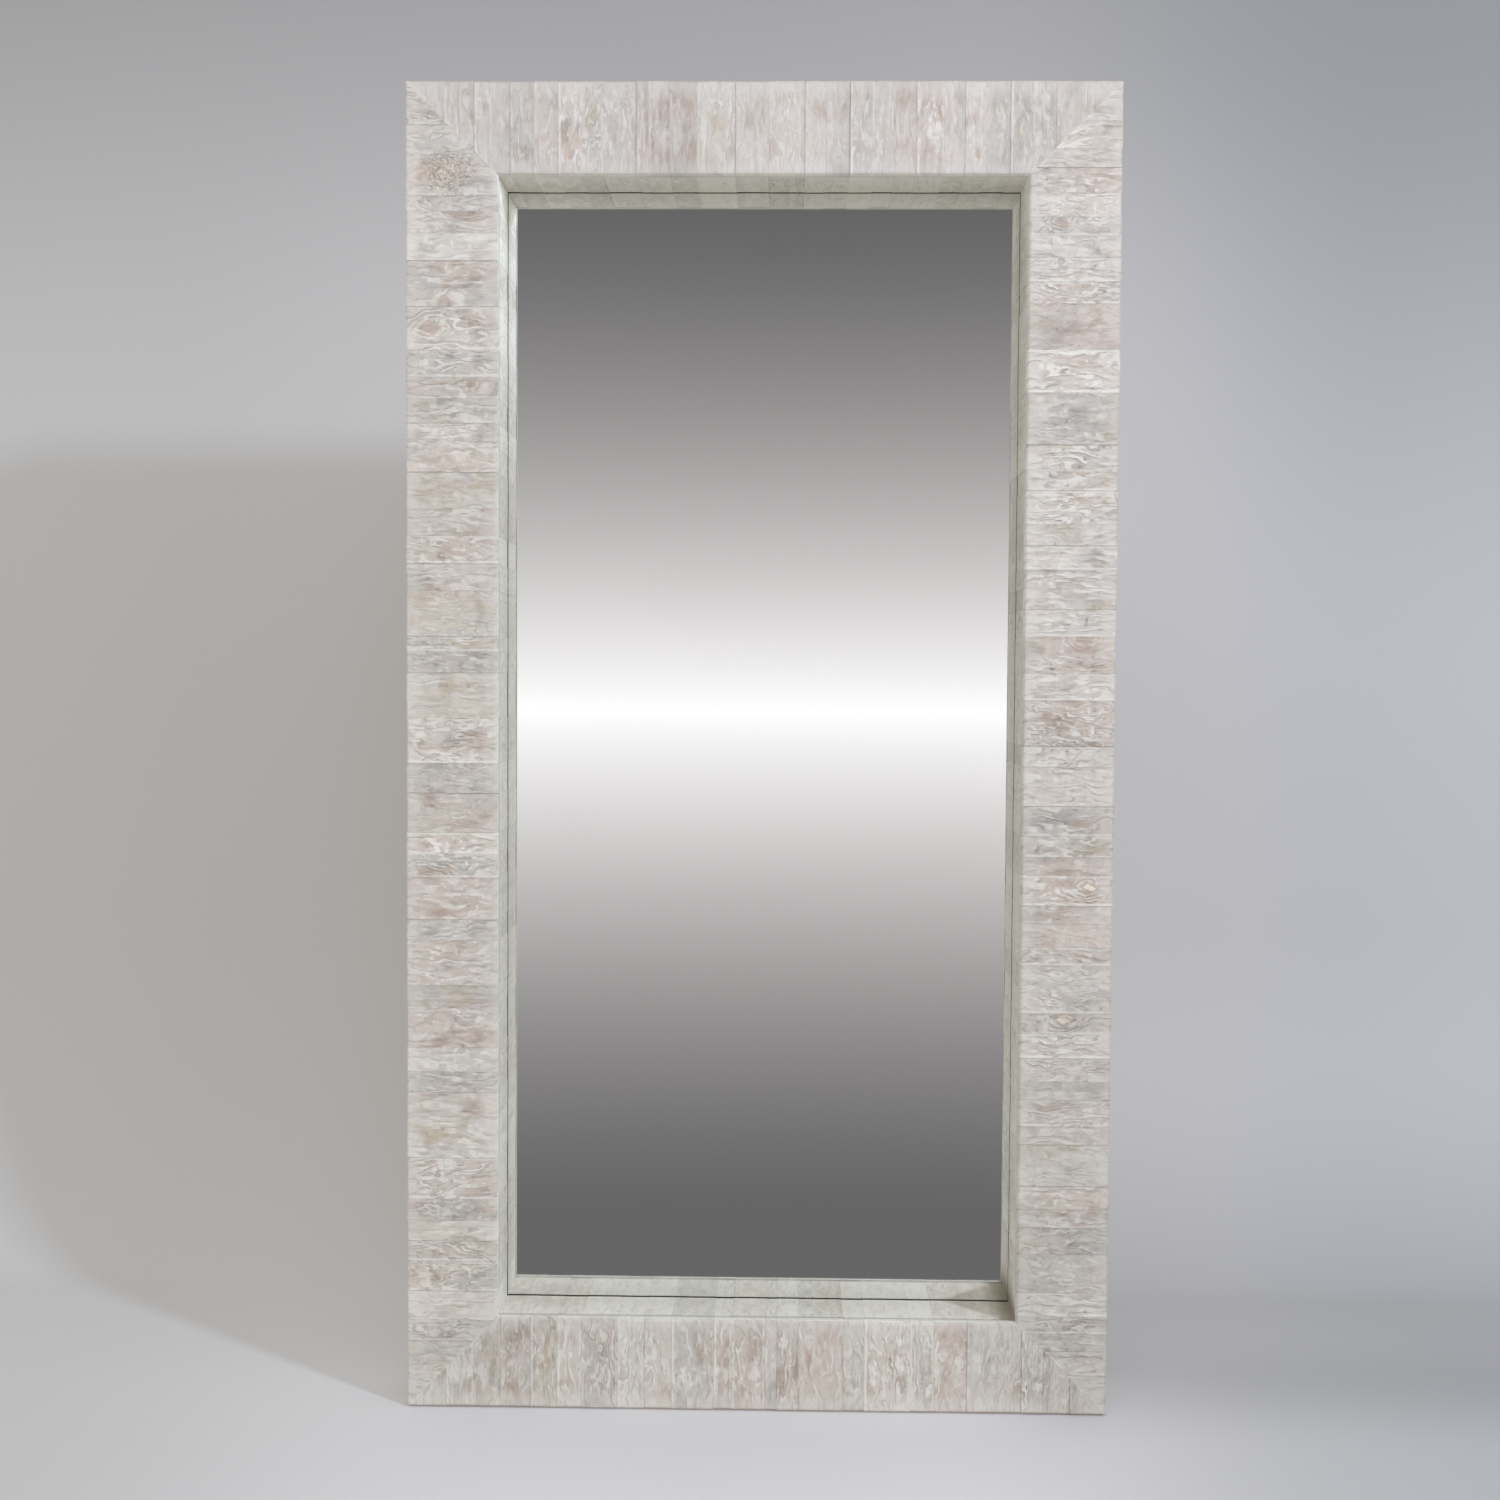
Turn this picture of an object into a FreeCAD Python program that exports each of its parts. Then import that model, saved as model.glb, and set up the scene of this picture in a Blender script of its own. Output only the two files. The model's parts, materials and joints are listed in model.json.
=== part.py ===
import FreeCAD, Part
import math
import os
import re
import sys
from types import SimpleNamespace

import Sketcher
from FreeCAD import Placement, Rotation, Vector

# A tall mirror in a wide mitred box frame, faced with short reclaimed staves laid across each rail.
# Millimetres. X runs to the right, Y from front to back, Z up. The origin is on the floor,
# under the middle of the whole piece.

driving_sizes = {
    # outside of the frame
    "frame_width": 1015,
    "frame_height": 1905,
    "face_width": 133,  # from the outer edge of the frame to the reveal
    "reveal_depth": 94,  # from the face to the glass
    # staves
    "stave_thickness": 12,
    "stave_gap": 0.3,
    "mitre_gap": 0.4,
    "stave_setback": 1.2,  # how far the lowest stave face lies behind the highest
    "end_setback": 1,  # how much shorter the shortest stave end is
    "side_thickness": 11,  # staves on the outer edges
    "side_step": 1,  # outer edge staves behind the ends of the face staves
    "lining_thickness": 12,  # staves that line the reveal
    "lining_step": 1,
    "lining_setback": 0.6,
    # carcass
    "face_board_thickness": 9,
    "rear_board_thickness": 12,
    "outer_batten_width": 18,
    "inner_batten_width": 33,
    "glass_rebate": 10,
    "panel_rebate": 13,
    "spacer_length": 60,
    "corner_block_width": 30,
    # glazing
    "glass_thickness": 5,
    "glass_clearance": 2,
    "panel_thickness": 6,
    "panel_clearance": 1.5,
    "setting_block_length": 80,
    "setting_block_inset": 195,  # from the ends of the glass to the middle
    # hangers
    "hanger_drop": 380,  # from the top of the frame to the ring's bar
    "strap_width": 26,
    "strap_length": 62,
    "strap_thickness": 1.6,
    "strap_corner_radius": 6,
    "upper_screw_drop": 16,
    "lower_screw_drop": 50,
    "ring_wire": 4,
    "ring_clearance": 0.4,
    "ring_width": 44,  # along the middle of the wire
    "ring_reach": 40,
    "ring_corner_radius": 7,
    # corner plates
    "plate_leg": 95,
    "plate_width": 20,
    "plate_thickness": 2,
    "plate_screw_inset": 12,
    "plate_screw_pitch": 40,
    # screws
    "screw_clearance": 0.1,
    "hanger_screw_diameter": 4.5,
    "hanger_screw_length": 30,
    "hanger_head_diameter": 8.5,
    "hanger_head_height": 2.5,
    "panel_screw_diameter": 3.5,
    "panel_screw_length": 18,
    "panel_head_diameter": 7.5,
    "panel_head_height": 2.2,
    "plate_screw_length": 12,
    "recess_width": 1,
    # rubber and felt
    "bumper_diameter": 22,
    "bumper_height": 9,
    "bumper_rounding": 1.5,
    "bumper_inset": 200,  # from the top and bottom of the frame
    "glide_diameter": 25,
    "glide_height": 4,
    "glide_side_inset": 60,
    "glide_edge_gap": 4,  # from the face staves and from the back
    "cut_overrun": 1,
}

# Lines of the cross-section. Names in across count from the outer edge towards the glass,
# names in deep count from the face towards the back.
derived_sizes = {
    "side_across": "side_step + side_thickness",
    "box_across": "side_across + outer_batten_width",
    "lining_end_across": "face_width - lining_step",
    "lining_across": "lining_end_across - lining_thickness",
    "batten_across": "lining_across - inner_batten_width",
    "glass_seat_across": "lining_across - glass_rebate",
    "panel_seat_across": "glass_seat_across - panel_rebate",
    "glass_edge_across": "glass_seat_across + glass_clearance",
    "panel_edge_across": "panel_seat_across + panel_clearance",
    "panel_screw_across": "panel_seat_across + panel_rebate / 2",
    "rear_middle_across": "(side_across + panel_seat_across) / 2",
    "carcass_deep": "stave_thickness + face_board_thickness",
    "panel_deep": "reveal_depth + glass_thickness",
    "frame_deep": "panel_deep + panel_thickness",
    "rear_board_deep": "frame_deep - rear_board_thickness",
    "half_width": "frame_width / 2",
    "half_height": "frame_height / 2",
    "frame_lift": "glide_height - side_step",
    "frame_middle": "frame_lift + half_height",
    "front_plane": "-(frame_deep + bumper_height) / 2",
    "back_plane": "front_plane + frame_deep",
    "panel_half_width": "half_width - panel_edge_across",
    "panel_half_height": "half_height - panel_edge_across",
    "hanger_across": "half_width - rear_middle_across",
    "hanger_level": "frame_lift + frame_height - hanger_drop",
    "curl_radius": "ring_wire / 2 + ring_clearance",
    "bar_standoff": "curl_radius + strap_thickness",
}

# How the stave widths share each rail, going clockwise: up the left upright, along the top,
# down the right upright and back along the bottom.
stave_width_shares = {
    "left": (14, 8, 7, 10, 10, 7, 7, 7, 14, 14, 8, 7, 8, 14, 7, 15, 7, 14, 8, 7, 13, 10, 15,
             15, 7, 5, 15, 9, 9, 9, 12, 8, 8, 8, 7, 9, 14, 6, 9, 9, 7, 5, 12, 11, 14),
    "top": (13, 10, 6, 6, 8, 8, 8, 7, 11, 4, 7, 9, 13, 11, 12, 7, 8, 8, 7, 7, 9, 7, 7, 8, 8,
            7, 8, 14),
    "right": (13, 9, 6, 8, 8, 6, 7, 8, 7, 15, 14, 17, 8, 7, 11, 7, 8, 6, 7, 9, 12, 9, 15, 7,
              13, 10, 7, 6, 10, 6, 8, 6, 8, 8, 7, 8, 8, 6, 9, 6, 14, 8, 6, 9, 13, 8, 6, 6, 8,
              13),
    "bottom": (12, 9, 7, 8, 10, 11, 8, 15, 7, 15, 7, 4, 11, 6, 14, 9, 9, 12, 8, 9, 10, 9, 9, 13),
}
# How the staves of each rail are split into runs that are glued up together.
run_names = {
    "left": ("bottom", "lower", "upper", "top"),
    "top": ("left", "right"),
    "right": ("top", "upper", "lower", "bottom"),
    "bottom": ("right", "left"),
}
setback_shares = (0, 0.5, 0.15, 0.8, 0.3, 1, 0.1, 0.45, 0.7, 0, 0.25)
outer_end_shares = (0.3, 0, 0.8, 0.4, 1, 0.1, 0.6, 0, 0.5)
inner_end_shares = (0.2, 0.7, 0, 0.4, 0.1, 1, 0.3)
lining_shares = (0, 0.6, 0.2, 1, 0.35)
long_side_screw_shares = (-0.96, -0.64, -0.32, 0, 0.32, 0.64, 0.96)
short_side_screw_shares = (-0.7, 0, 0.7)
strap_curl_turn = 300  # degrees that the strap curls around the ring's bar

# Local axes of a rail: X clockwise along it, Y from its outer edge inwards, Z from face to back.
base_turn = Rotation(Vector(-1, 0, 0), Vector(0, 0, 1), Vector(0, 1, 0), "XYZ")
side_turns = {"left": 90, "top": 180, "right": -90, "bottom": 0}

doc = FreeCAD.newDocument("mirror")
sheet_of = {}
subparts = []
# Bodies and hole sketches that each set of screws goes into.
screw_seats = {"backing_panel_screws": [], "corner_plate_screws": [], "hanger_screws": []}


def fill_sheet(name, cells):
    """Puts each value in a cell of its own, under its alias."""
    sheet = doc.addObject("Spreadsheet::Sheet", name)
    for row, (alias, content) in enumerate(cells.items(), start=1):
        sheet.set(f"A{row}", alias)
        sheet.set(f"B{row}", content)
        sheet.setAlias(f"B{row}", alias)
        sheet_of[alias] = name
    return sheet


def with_sheets(text):
    """Puts the sheet's name before each alias in an expression."""
    return re.sub(r"[a-z]+(_[a-z]+)+", lambda found: f"{sheet_of[found[0]]}.{found[0]}", text)


sizes = fill_sheet("sizes", {alias: str(value) for alias, value in driving_sizes.items()})
sheet_of.update({alias: "places" for alias in derived_sizes})
places = fill_sheet("places", {alias: "=" + with_sheets(text) for alias, text in derived_sizes.items()})
doc.recompute()
mm = SimpleNamespace(**{alias: (sizes if sheet == "sizes" else places).get(alias)
                        for alias, sheet in sheet_of.items()})


def bind(target, prop, text):
    target.setExpression(prop, with_sheets(text))


def placed_on_side(side):
    """The placement that turns a rail's local frame onto one side of the frame."""
    turn = Rotation(Vector(0, 1, 0), side_turns[side]).multiply(base_turn)
    return Placement(Vector(0, mm.front_plane, mm.frame_middle), turn)


def rail_lengths(side):
    """Names of half the rail's own length, and of its distance from the frame's middle."""
    if side in ("left", "right"):
        return "half_height", "half_width"
    return "half_width", "half_height"


def new_body(name):
    body = doc.addObject("PartDesign::Body", name)
    body.Label = name
    return body


def keep(piece):
    """Adds a finished piece to the list of sub-parts to write."""
    subparts.append(piece)
    return piece


def new_sketch(body, name, plane, offset="0"):
    sketch = body.newObject("Sketcher::SketchObject", name)
    origin_plane = next(item for item in body.Origin.OriginFeatures if item.Role == plane)
    sketch.AttachmentSupport = (origin_plane, [""])
    sketch.MapMode = "FlatFace"
    bind(sketch, "AttachmentOffset.Base.z", offset)
    return sketch


def hold(sketch, kind, geometry, vertex, text):
    """Ties one coordinate of a sketch's point to an expression."""
    start = sketch.getPoint(geometry, vertex)
    index = sketch.addConstraint(Sketcher.Constraint(kind, geometry, vertex,
                                                     start.x if kind == "DistanceX" else start.y))
    bind(sketch, f"Constraints[{index}]", text)


def fix_point(sketch, geometry, vertex, x, y):
    hold(sketch, "DistanceX", geometry, vertex, x)
    hold(sketch, "DistanceY", geometry, vertex, y)


def join_points(sketch, pairs):
    """Makes pairs of points meet; each pair is two geometry numbers and their vertices."""
    for first, first_vertex, second, second_vertex in pairs:
        sketch.addConstraint(Sketcher.Constraint("Coincident", first, first_vertex, second, second_vertex))


def draw_outline(sketch, corners):
    """A closed outline of straight lines through corners given as pairs of expressions."""
    starts = [Vector(math.cos(math.tau * i / len(corners)), math.sin(math.tau * i / len(corners)), 0)
              for i in range(len(corners))]
    for i, start in enumerate(starts):
        sketch.addGeometry(Part.LineSegment(start, starts[(i + 1) % len(starts)]))
    join_points(sketch, [(i, 2, (i + 1) % len(corners), 1) for i in range(len(corners))])
    for i, (x, y) in enumerate(corners):
        fix_point(sketch, i, 1, x, y)


def draw_holes(sketch, centres, diameter):
    for i, (x, y) in enumerate(centres):
        circle = sketch.addGeometry(Part.Circle(Vector(i, i, 0), Vector(0, 0, 1), 1))
        fix_point(sketch, circle, 3, x, y)
        index = sketch.addConstraint(Sketcher.Constraint("Diameter", circle, 1.0))
        bind(sketch, f"Constraints[{index}]", diameter)


def add_pad(body, name, sketch, length):
    pad = body.newObject("PartDesign::Pad", name)
    pad.Profile = sketch
    bind(pad, "Length", length)
    return pad


def add_holes(body, name, centres, diameter, top, depth):
    """Drills round holes forward from the plane at top; returns the sketch of their places."""
    sketch = new_sketch(body, f"{name}_sketch", "XY_Plane", top)
    draw_holes(sketch, centres, f"{diameter} + 2 * screw_clearance")
    pocket = body.newObject("PartDesign::Pocket", name)
    pocket.Profile = sketch
    bind(pocket, "Length", depth)
    return sketch


def mitred_corners(side, outer, inner):
    """A rail's outline between two distances from the outer edge, mitred at both ends."""
    along, away = rail_lengths(side)
    return [
        (f"-({along} - ({outer}))", f"-({away} - ({outer}))"),
        (f"{along} - ({outer})", f"-({away} - ({outer}))"),
        (f"{along} - ({inner})", f"-({away} - ({inner}))"),
        (f"-({along} - ({inner}))", f"-({away} - ({inner}))"),
    ]


def mitred_board(name, side, layers):
    """A board or moulding of one side, padded layer by layer from face to back."""
    body = new_body(name)
    for number, (outer, inner, front, back) in enumerate(layers, start=1):
        sketch = new_sketch(body, f"{name}_outline_{number}", "XY_Plane", front)
        draw_outline(sketch, mitred_corners(side, outer, inner))
        add_pad(body, f"{name}_pad_{number}", sketch, f"{back} - ({front})")
    body.Placement = placed_on_side(side)
    return keep(body)


def group(name, shapes, placement=None):
    """Separate solids under one name, placed after their shape is set."""
    feature = doc.addObject("Part::Feature", name)
    feature.Label = name
    feature.Shape = Part.makeCompound(shapes)
    if placement:
        feature.Placement = placement
    return keep(feature)


def moved(shape, placement):
    """A copy of a shape, put at a placement."""
    result = shape.copy()
    result.Placement = placement.multiply(result.Placement)
    return result


# Staves
def mitre_prism(side, outer, inner, front, back):
    """The space of one side between its two mitres."""
    along, away = (getattr(mm, name) for name in rail_lengths(side))
    reach = along - mm.mitre_gap
    corners = [(-(reach - outer), outer - away), (reach - outer, outer - away),
               (reach - inner, inner - away), (-(reach - inner), inner - away)]
    outline = Part.makePolygon([Vector(x, y, front) for x, y in corners + corners[:1]])
    return Part.Face(outline).extrude(Vector(0, 0, back - front))


def stave_edges(side):
    """Where each stave of a side starts and ends along it."""
    half_rail = getattr(mm, rail_lengths(side)[0])
    shares = stave_width_shares[side]
    edges = [-half_rail + 2 * half_rail * sum(shares[:i]) / sum(shares) for i in range(len(shares) + 1)]
    return list(zip(edges[:-1], edges[1:]))


def stave_row(side, limits):
    """Cuts one stave per share; limits gives each stave's outer, inner, front and back."""
    away = getattr(mm, rail_lengths(side)[1])
    staves = []
    for number, (start, end) in enumerate(stave_edges(side)):
        outer, inner, front, back = limits(number)
        corner = Vector(start + mm.stave_gap / 2, outer - away, front)
        blank = Part.makeBox(end - start - mm.stave_gap, inner - outer, back - front, corner)
        staves += blank.common(mitre_prism(side, outer, inner, front, back)).Solids
    return staves


def share(table, number):
    return table[number % len(table)]


def make_face_staves(side):
    def limits(number):
        return (mm.end_setback * share(outer_end_shares, number),
                mm.face_width - mm.end_setback * share(inner_end_shares, number),
                mm.stave_setback * share(setback_shares, number),
                mm.stave_thickness)

    staves = stave_row(side, limits)
    runs = run_names[side]
    for number, run in enumerate(runs):
        first = number * len(staves) // len(runs)
        last = (number + 1) * len(staves) // len(runs)
        group(f"{side}_face_staves_{run}", staves[first:last], placed_on_side(side))


def make_side_staves(side):
    def limits(number):
        return mm.side_step, mm.side_across, mm.stave_thickness, mm.frame_deep

    group(f"{side}_edge_staves", stave_row(side, limits), placed_on_side(side))


def make_lining_staves(side):
    def limits(number):
        inner = mm.lining_end_across - mm.lining_setback * share(lining_shares, number)
        return mm.lining_across, inner, mm.stave_thickness, mm.reveal_depth

    group(f"{side}_reveal_staves", stave_row(side, limits), placed_on_side(side))


# Carcass
def panel_screw_places(side):
    """Where the back panel's screws stand along one side, as expressions."""
    if side in ("left", "right"):
        return [f"{text} * panel_half_height" for text in map(str, long_side_screw_shares)]
    return [f"{text} * panel_half_width" for text in map(str, short_side_screw_shares)]


def plate_screw_places(side):
    """Screw holes of the two corner plates that reach onto one side, as expressions."""
    along, away = rail_lengths(side)
    line = f"rear_middle_across - {away}"
    near = f"{along} - rear_middle_across + plate_width / 2 - plate_leg + plate_screw_inset"
    return [(f"{sign}({near} + {step} * plate_screw_pitch)", line) for sign in ("", "-") for step in (0, 1)]


def hanger_screw_places(side):
    """Screw holes of one hanger strap along its upright, as expressions."""
    sign = "" if side == "left" else "-"
    return [(f"{sign}(half_height - hanger_drop - {drop})", "rear_middle_across - half_width")
            for drop in ("upper_screw_drop", "lower_screw_drop")]


def make_carcass(side):
    along, away = rail_lengths(side)
    mitred_board(f"{side}_face_board", side,
                 [("side_across", "lining_across", "stave_thickness", "carcass_deep")])
    mitred_board(f"{side}_outer_batten", side,
                 [("side_across", "box_across", "carcass_deep", "rear_board_deep")])
    batten = mitred_board(f"{side}_inner_batten", side, [
        ("batten_across", "lining_across", "carcass_deep", "rear_board_deep"),
        ("panel_seat_across", "lining_across", "rear_board_deep", "reveal_depth"),
        ("panel_seat_across", "glass_seat_across", "reveal_depth", "panel_deep"),
    ])
    centres = [(text, f"panel_screw_across - {away}") for text in panel_screw_places(side)]
    add_holes(batten, f"{side}_batten_holes", centres, "panel_screw_diameter", "panel_deep",
              "panel_screw_length - panel_thickness + cut_overrun")
    board = mitred_board(f"{side}_rear_board", side,
                         [("side_across", "panel_seat_across", "rear_board_deep", "frame_deep")])
    plate_holes = add_holes(board, f"{side}_plate_holes", plate_screw_places(side),
                            "panel_screw_diameter", "frame_deep",
                            "plate_screw_length - plate_thickness + cut_overrun")
    screw_seats["corner_plate_screws"].append((board, plate_holes))
    if side in ("left", "right"):
        hanger_holes = add_holes(board, f"{side}_hanger_holes", hanger_screw_places(side),
                                 "hanger_screw_diameter", "frame_deep", "rear_board_thickness")
        screw_seats["hanger_screws"].append((board, hanger_holes))


def box_between(corner, far_corner):
    span = far_corner - corner
    return Part.makeBox(span.x, span.y, span.z, corner)


def make_corner_blocks():
    """One square glue block in each corner, against the two outer battens."""
    width = mm.corner_block_width
    right = mm.half_width - mm.box_across
    upper = mm.half_height - mm.box_across
    blocks = []
    for x in (-right, right - width):
        for y in (-upper, upper - width):
            depth = mm.rear_board_deep - mm.carcass_deep
            block = Part.makeBox(width, width, depth, Vector(x, y, mm.carcass_deep))
            blocks.append(moved(block, placed_on_side("bottom")))
    group("corner_blocks", blocks)


def make_spacer_blocks():
    """Blocks across the hollow rails; the top ones take the hanger screws."""
    blocks = []
    screw_middle = (mm.upper_screw_drop + mm.lower_screw_drop) / 2
    hanger_place = mm.half_height - mm.hanger_drop - screw_middle
    rail_places = {"left": (-hanger_place, 0, hanger_place), "right": (-hanger_place, 0, hanger_place),
                   "top": (0,), "bottom": (0,)}
    bore = Part.makeCylinder(mm.hanger_screw_diameter / 2 + mm.screw_clearance,
                             mm.hanger_screw_length - mm.rear_board_thickness, Vector(),
                             Vector(0, 0, -1))
    for side, centres in rail_places.items():
        along, away = (getattr(mm, name) for name in rail_lengths(side))
        upper = max(centres) if side == "left" else min(centres)
        for centre in centres:
            low = Vector(centre - mm.spacer_length / 2, mm.box_across - away, mm.carcass_deep)
            high = Vector(centre + mm.spacer_length / 2, mm.batten_across - away, mm.rear_board_deep)
            block = box_between(low, high)
            if side in ("left", "right") and centre == upper:
                half_pitch = (mm.lower_screw_drop - mm.upper_screw_drop) / 2
                for step in (-half_pitch, half_pitch):
                    foot = Vector(centre + step, mm.rear_middle_across - away, mm.rear_board_deep)
                    block = block.cut(moved(bore, Placement(foot, Rotation())))
            blocks.append(moved(block, placed_on_side(side)))
    group("spacer_blocks", blocks)


# Glazing
def make_glass():
    body = new_body("mirror_glass")
    sketch = new_sketch(body, "glass_outline", "XY_Plane", "reveal_depth")
    draw_outline(sketch, mirror_rectangle("half_width - glass_edge_across",
                                          "half_height - glass_edge_across"))
    add_pad(body, "glass_sheet", sketch, "glass_thickness")
    body.Placement = placed_on_side("bottom")
    keep(body)


def mirror_rectangle(half_x, half_y):
    return [(f"-({half_x})", f"-({half_y})"), (half_x, f"-({half_y})"), (half_x, half_y),
            (f"-({half_x})", half_y)]


def make_back_panel():
    body = new_body("backing_panel")
    sketch = new_sketch(body, "panel_outline", "XY_Plane", "panel_deep")
    draw_outline(sketch, mirror_rectangle("panel_half_width", "panel_half_height"))
    add_pad(body, "panel_sheet", sketch, "panel_thickness")
    centres = []
    for text in panel_screw_places("left"):
        centres += [("panel_screw_across - half_width", text), ("half_width - panel_screw_across", text)]
    for text in panel_screw_places("top"):
        centres += [(text, "panel_screw_across - half_height"), (text, "half_height - panel_screw_across")]
    holes = add_holes(body, "panel_holes", centres, "panel_screw_diameter", "frame_deep",
                      "panel_thickness")
    screw_seats["backing_panel_screws"].append((body, holes))
    body.Placement = placed_on_side("bottom")
    keep(body)


def make_setting_blocks():
    """Two rubber strips that carry the glass's lower edge on the bottom batten."""
    strips = []
    glass_end = mm.half_width - mm.glass_edge_across
    floor = mm.frame_lift + mm.glass_seat_across
    for right in (-1, 1):
        middle = right * (glass_end - mm.setting_block_inset)
        corner = Vector(middle - mm.setting_block_length / 2, mm.front_plane + mm.reveal_depth, floor)
        strips.append(Part.makeBox(mm.setting_block_length, mm.glass_thickness, mm.glass_clearance, corner))
    group("setting_blocks", strips)


# Screws
def pan_head_screw(diameter, length, head_diameter, head_height):
    """A screw whose head sits on the plane of its origin and whose shank points to -Z."""
    head = Part.makeCylinder(head_diameter / 2, head_height)
    rim = [edge for edge in head.Edges if edge.BoundBox.ZMin > head_height / 2]
    head = head.makeFillet(head_height / 2, rim)
    shank = Part.makeCylinder(diameter / 2, length - diameter, Vector(), Vector(0, 0, -1))
    tip = Part.makeCone(diameter / 2, diameter / 8, diameter, Vector(0, 0, diameter - length),
                        Vector(0, 0, -1))
    screw = head.fuse([shank, tip]).removeSplitter()
    wing = head_diameter / 2
    for width, depth in ((wing, mm.recess_width), (mm.recess_width, wing)):
        corner = Vector(-width / 2, -depth / 2, head_height / 2)
        screw = screw.cut(Part.makeBox(width, depth, head_height, corner))
    return screw


def make_screws(name, blank, lift):
    """One screw in each hole that this name stands for, with its head raised by lift."""
    doc.recompute()
    screws = []
    for body, sketch in screw_seats[name]:
        for hole in sketch.Geometry:
            seat = Placement(hole.Center + Vector(0, 0, lift), Rotation())
            screws.append(moved(blank, body.Placement.multiply(sketch.Placement).multiply(seat)))
    group(name, screws)


def make_all_screws():
    def blank(length):
        return pan_head_screw(mm.panel_screw_diameter, length, mm.panel_head_diameter,
                              mm.panel_head_height)

    make_screws("backing_panel_screws", blank(mm.panel_screw_length), 0)
    make_screws("corner_plate_screws", blank(mm.plate_screw_length), mm.plate_thickness)
    hanger_blank = pan_head_screw(mm.hanger_screw_diameter, mm.hanger_screw_length,
                                  mm.hanger_head_diameter, mm.hanger_head_height)
    make_screws("hanger_screws", hanger_blank, mm.strap_thickness)


# Steelwork on the back
def make_corner_plates():
    """Four L-shaped plates over the mitres of the rear boards."""
    master = new_body("corner_plate")
    sketch = new_sketch(master, "corner_plate_outline", "XY_Plane")
    draw_outline(sketch, [
        ("-plate_width / 2", "-plate_width / 2"),
        ("plate_leg - plate_width / 2", "-plate_width / 2"),
        ("plate_leg - plate_width / 2", "plate_width / 2"),
        ("plate_width / 2", "plate_width / 2"),
        ("plate_width / 2", "plate_leg - plate_width / 2"),
        ("-plate_width / 2", "plate_leg - plate_width / 2"),
    ])
    add_pad(master, "corner_plate_sheet", sketch, "plate_thickness")
    outer_hole = "plate_leg - plate_width / 2 - plate_screw_inset"
    inner_hole = f"{outer_hole} - plate_screw_pitch"
    centres = [(outer_hole, "0"), (inner_hole, "0"), ("0", outer_hole), ("0", inner_hole)]
    add_holes(master, "corner_plate_holes", centres, "panel_screw_diameter", "plate_thickness",
              "plate_thickness")
    doc.recompute()
    plates = []
    x = mm.half_width - mm.rear_middle_across
    y = mm.half_height - mm.rear_middle_across
    for right, up, turn in ((-1, -1, 0), (1, -1, 90), (1, 1, 180), (-1, 1, 270)):
        corner = Placement(Vector(right * x, up * y, mm.frame_deep), Rotation(Vector(0, 0, 1), turn))
        plates.append(moved(master.Shape, placed_on_side("bottom").multiply(corner)))
    group("corner_plates", plates)


def curl_outline(sketch):
    """A strap seen from its edge: flat on the board, then curled around the ring's bar."""
    outer, inner = mm.bar_standoff, mm.curl_radius
    end = math.radians(strap_curl_turn)
    centre = Vector(outer, 0, 0)

    def on_curl(radius, angle):
        return Vector(outer - radius * math.cos(angle), radius * math.sin(angle), 0)

    def curl(radius):
        circle = Part.Circle(centre, Vector(0, 0, 1), radius)
        return Part.ArcOfCircle(circle, math.pi - end, math.pi)

    foot = Vector(0, -mm.strap_length, 0)
    inner_foot = Vector(mm.strap_thickness, -mm.strap_length, 0)
    sketch.addGeometry(Part.LineSegment(foot, on_curl(outer, 0)))
    sketch.addGeometry(curl(outer))
    sketch.addGeometry(Part.LineSegment(on_curl(outer, end), on_curl(inner, end)))
    sketch.addGeometry(curl(inner))
    sketch.addGeometry(Part.LineSegment(on_curl(inner, 0), inner_foot))
    sketch.addGeometry(Part.LineSegment(inner_foot, foot))
    join_points(sketch, [(0, 2, 1, 2), (1, 1, 2, 1), (2, 2, 3, 1), (3, 2, 4, 1), (4, 2, 5, 1),
                         (5, 2, 0, 1), (1, 3, 3, 3)])
    fix_point(sketch, 1, 3, "bar_standoff", "0")
    fix_point(sketch, 0, 2, "0", "0")
    fix_point(sketch, 4, 1, "strap_thickness", "0")
    fix_point(sketch, 5, 1, "strap_thickness", "-strap_length")
    fix_point(sketch, 5, 2, "0", "-strap_length")
    hold(sketch, "DistanceX", 2, 1, f"bar_standoff - bar_standoff * {math.cos(end)}")
    hold(sketch, "DistanceX", 2, 2, f"bar_standoff - curl_radius * {math.cos(end)}")


def make_strap(side, across):
    """A steel strap that holds the hanging ring's bar in its curl."""
    name = f"{side}_hanger_strap"
    body = new_body(name)
    sketch = new_sketch(body, f"{name}_edge", "YZ_Plane", "-strap_width / 2")
    curl_outline(sketch)
    add_pad(body, f"{name}_sheet", sketch, "strap_width")
    doc.recompute()
    holes = new_sketch(body, f"{name}_hole_sketch", "XZ_Plane")
    draw_holes(holes, [("0", "-upper_screw_drop"), ("0", "-lower_screw_drop")],
               "hanger_screw_diameter + 2 * screw_clearance")
    pocket = body.newObject("PartDesign::Pocket", f"{name}_holes")
    pocket.Profile = holes
    bind(pocket, "Length", "strap_thickness")
    doc.recompute()
    foot_edges = [f"Edge{number}" for number, edge in enumerate(pocket.Shape.Edges, start=1)
                  if edge.BoundBox.ZMax < -mm.lower_screw_drop and abs(edge.tangentAt(0).y) > 0.9]
    fillet = body.newObject("PartDesign::Fillet", f"{name}_corners")
    fillet.Base = (pocket, foot_edges)
    bind(fillet, "Radius", "strap_corner_radius")
    body.Placement = Placement(Vector(across, mm.back_plane, mm.hanger_level), Rotation())
    keep(body)


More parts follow.
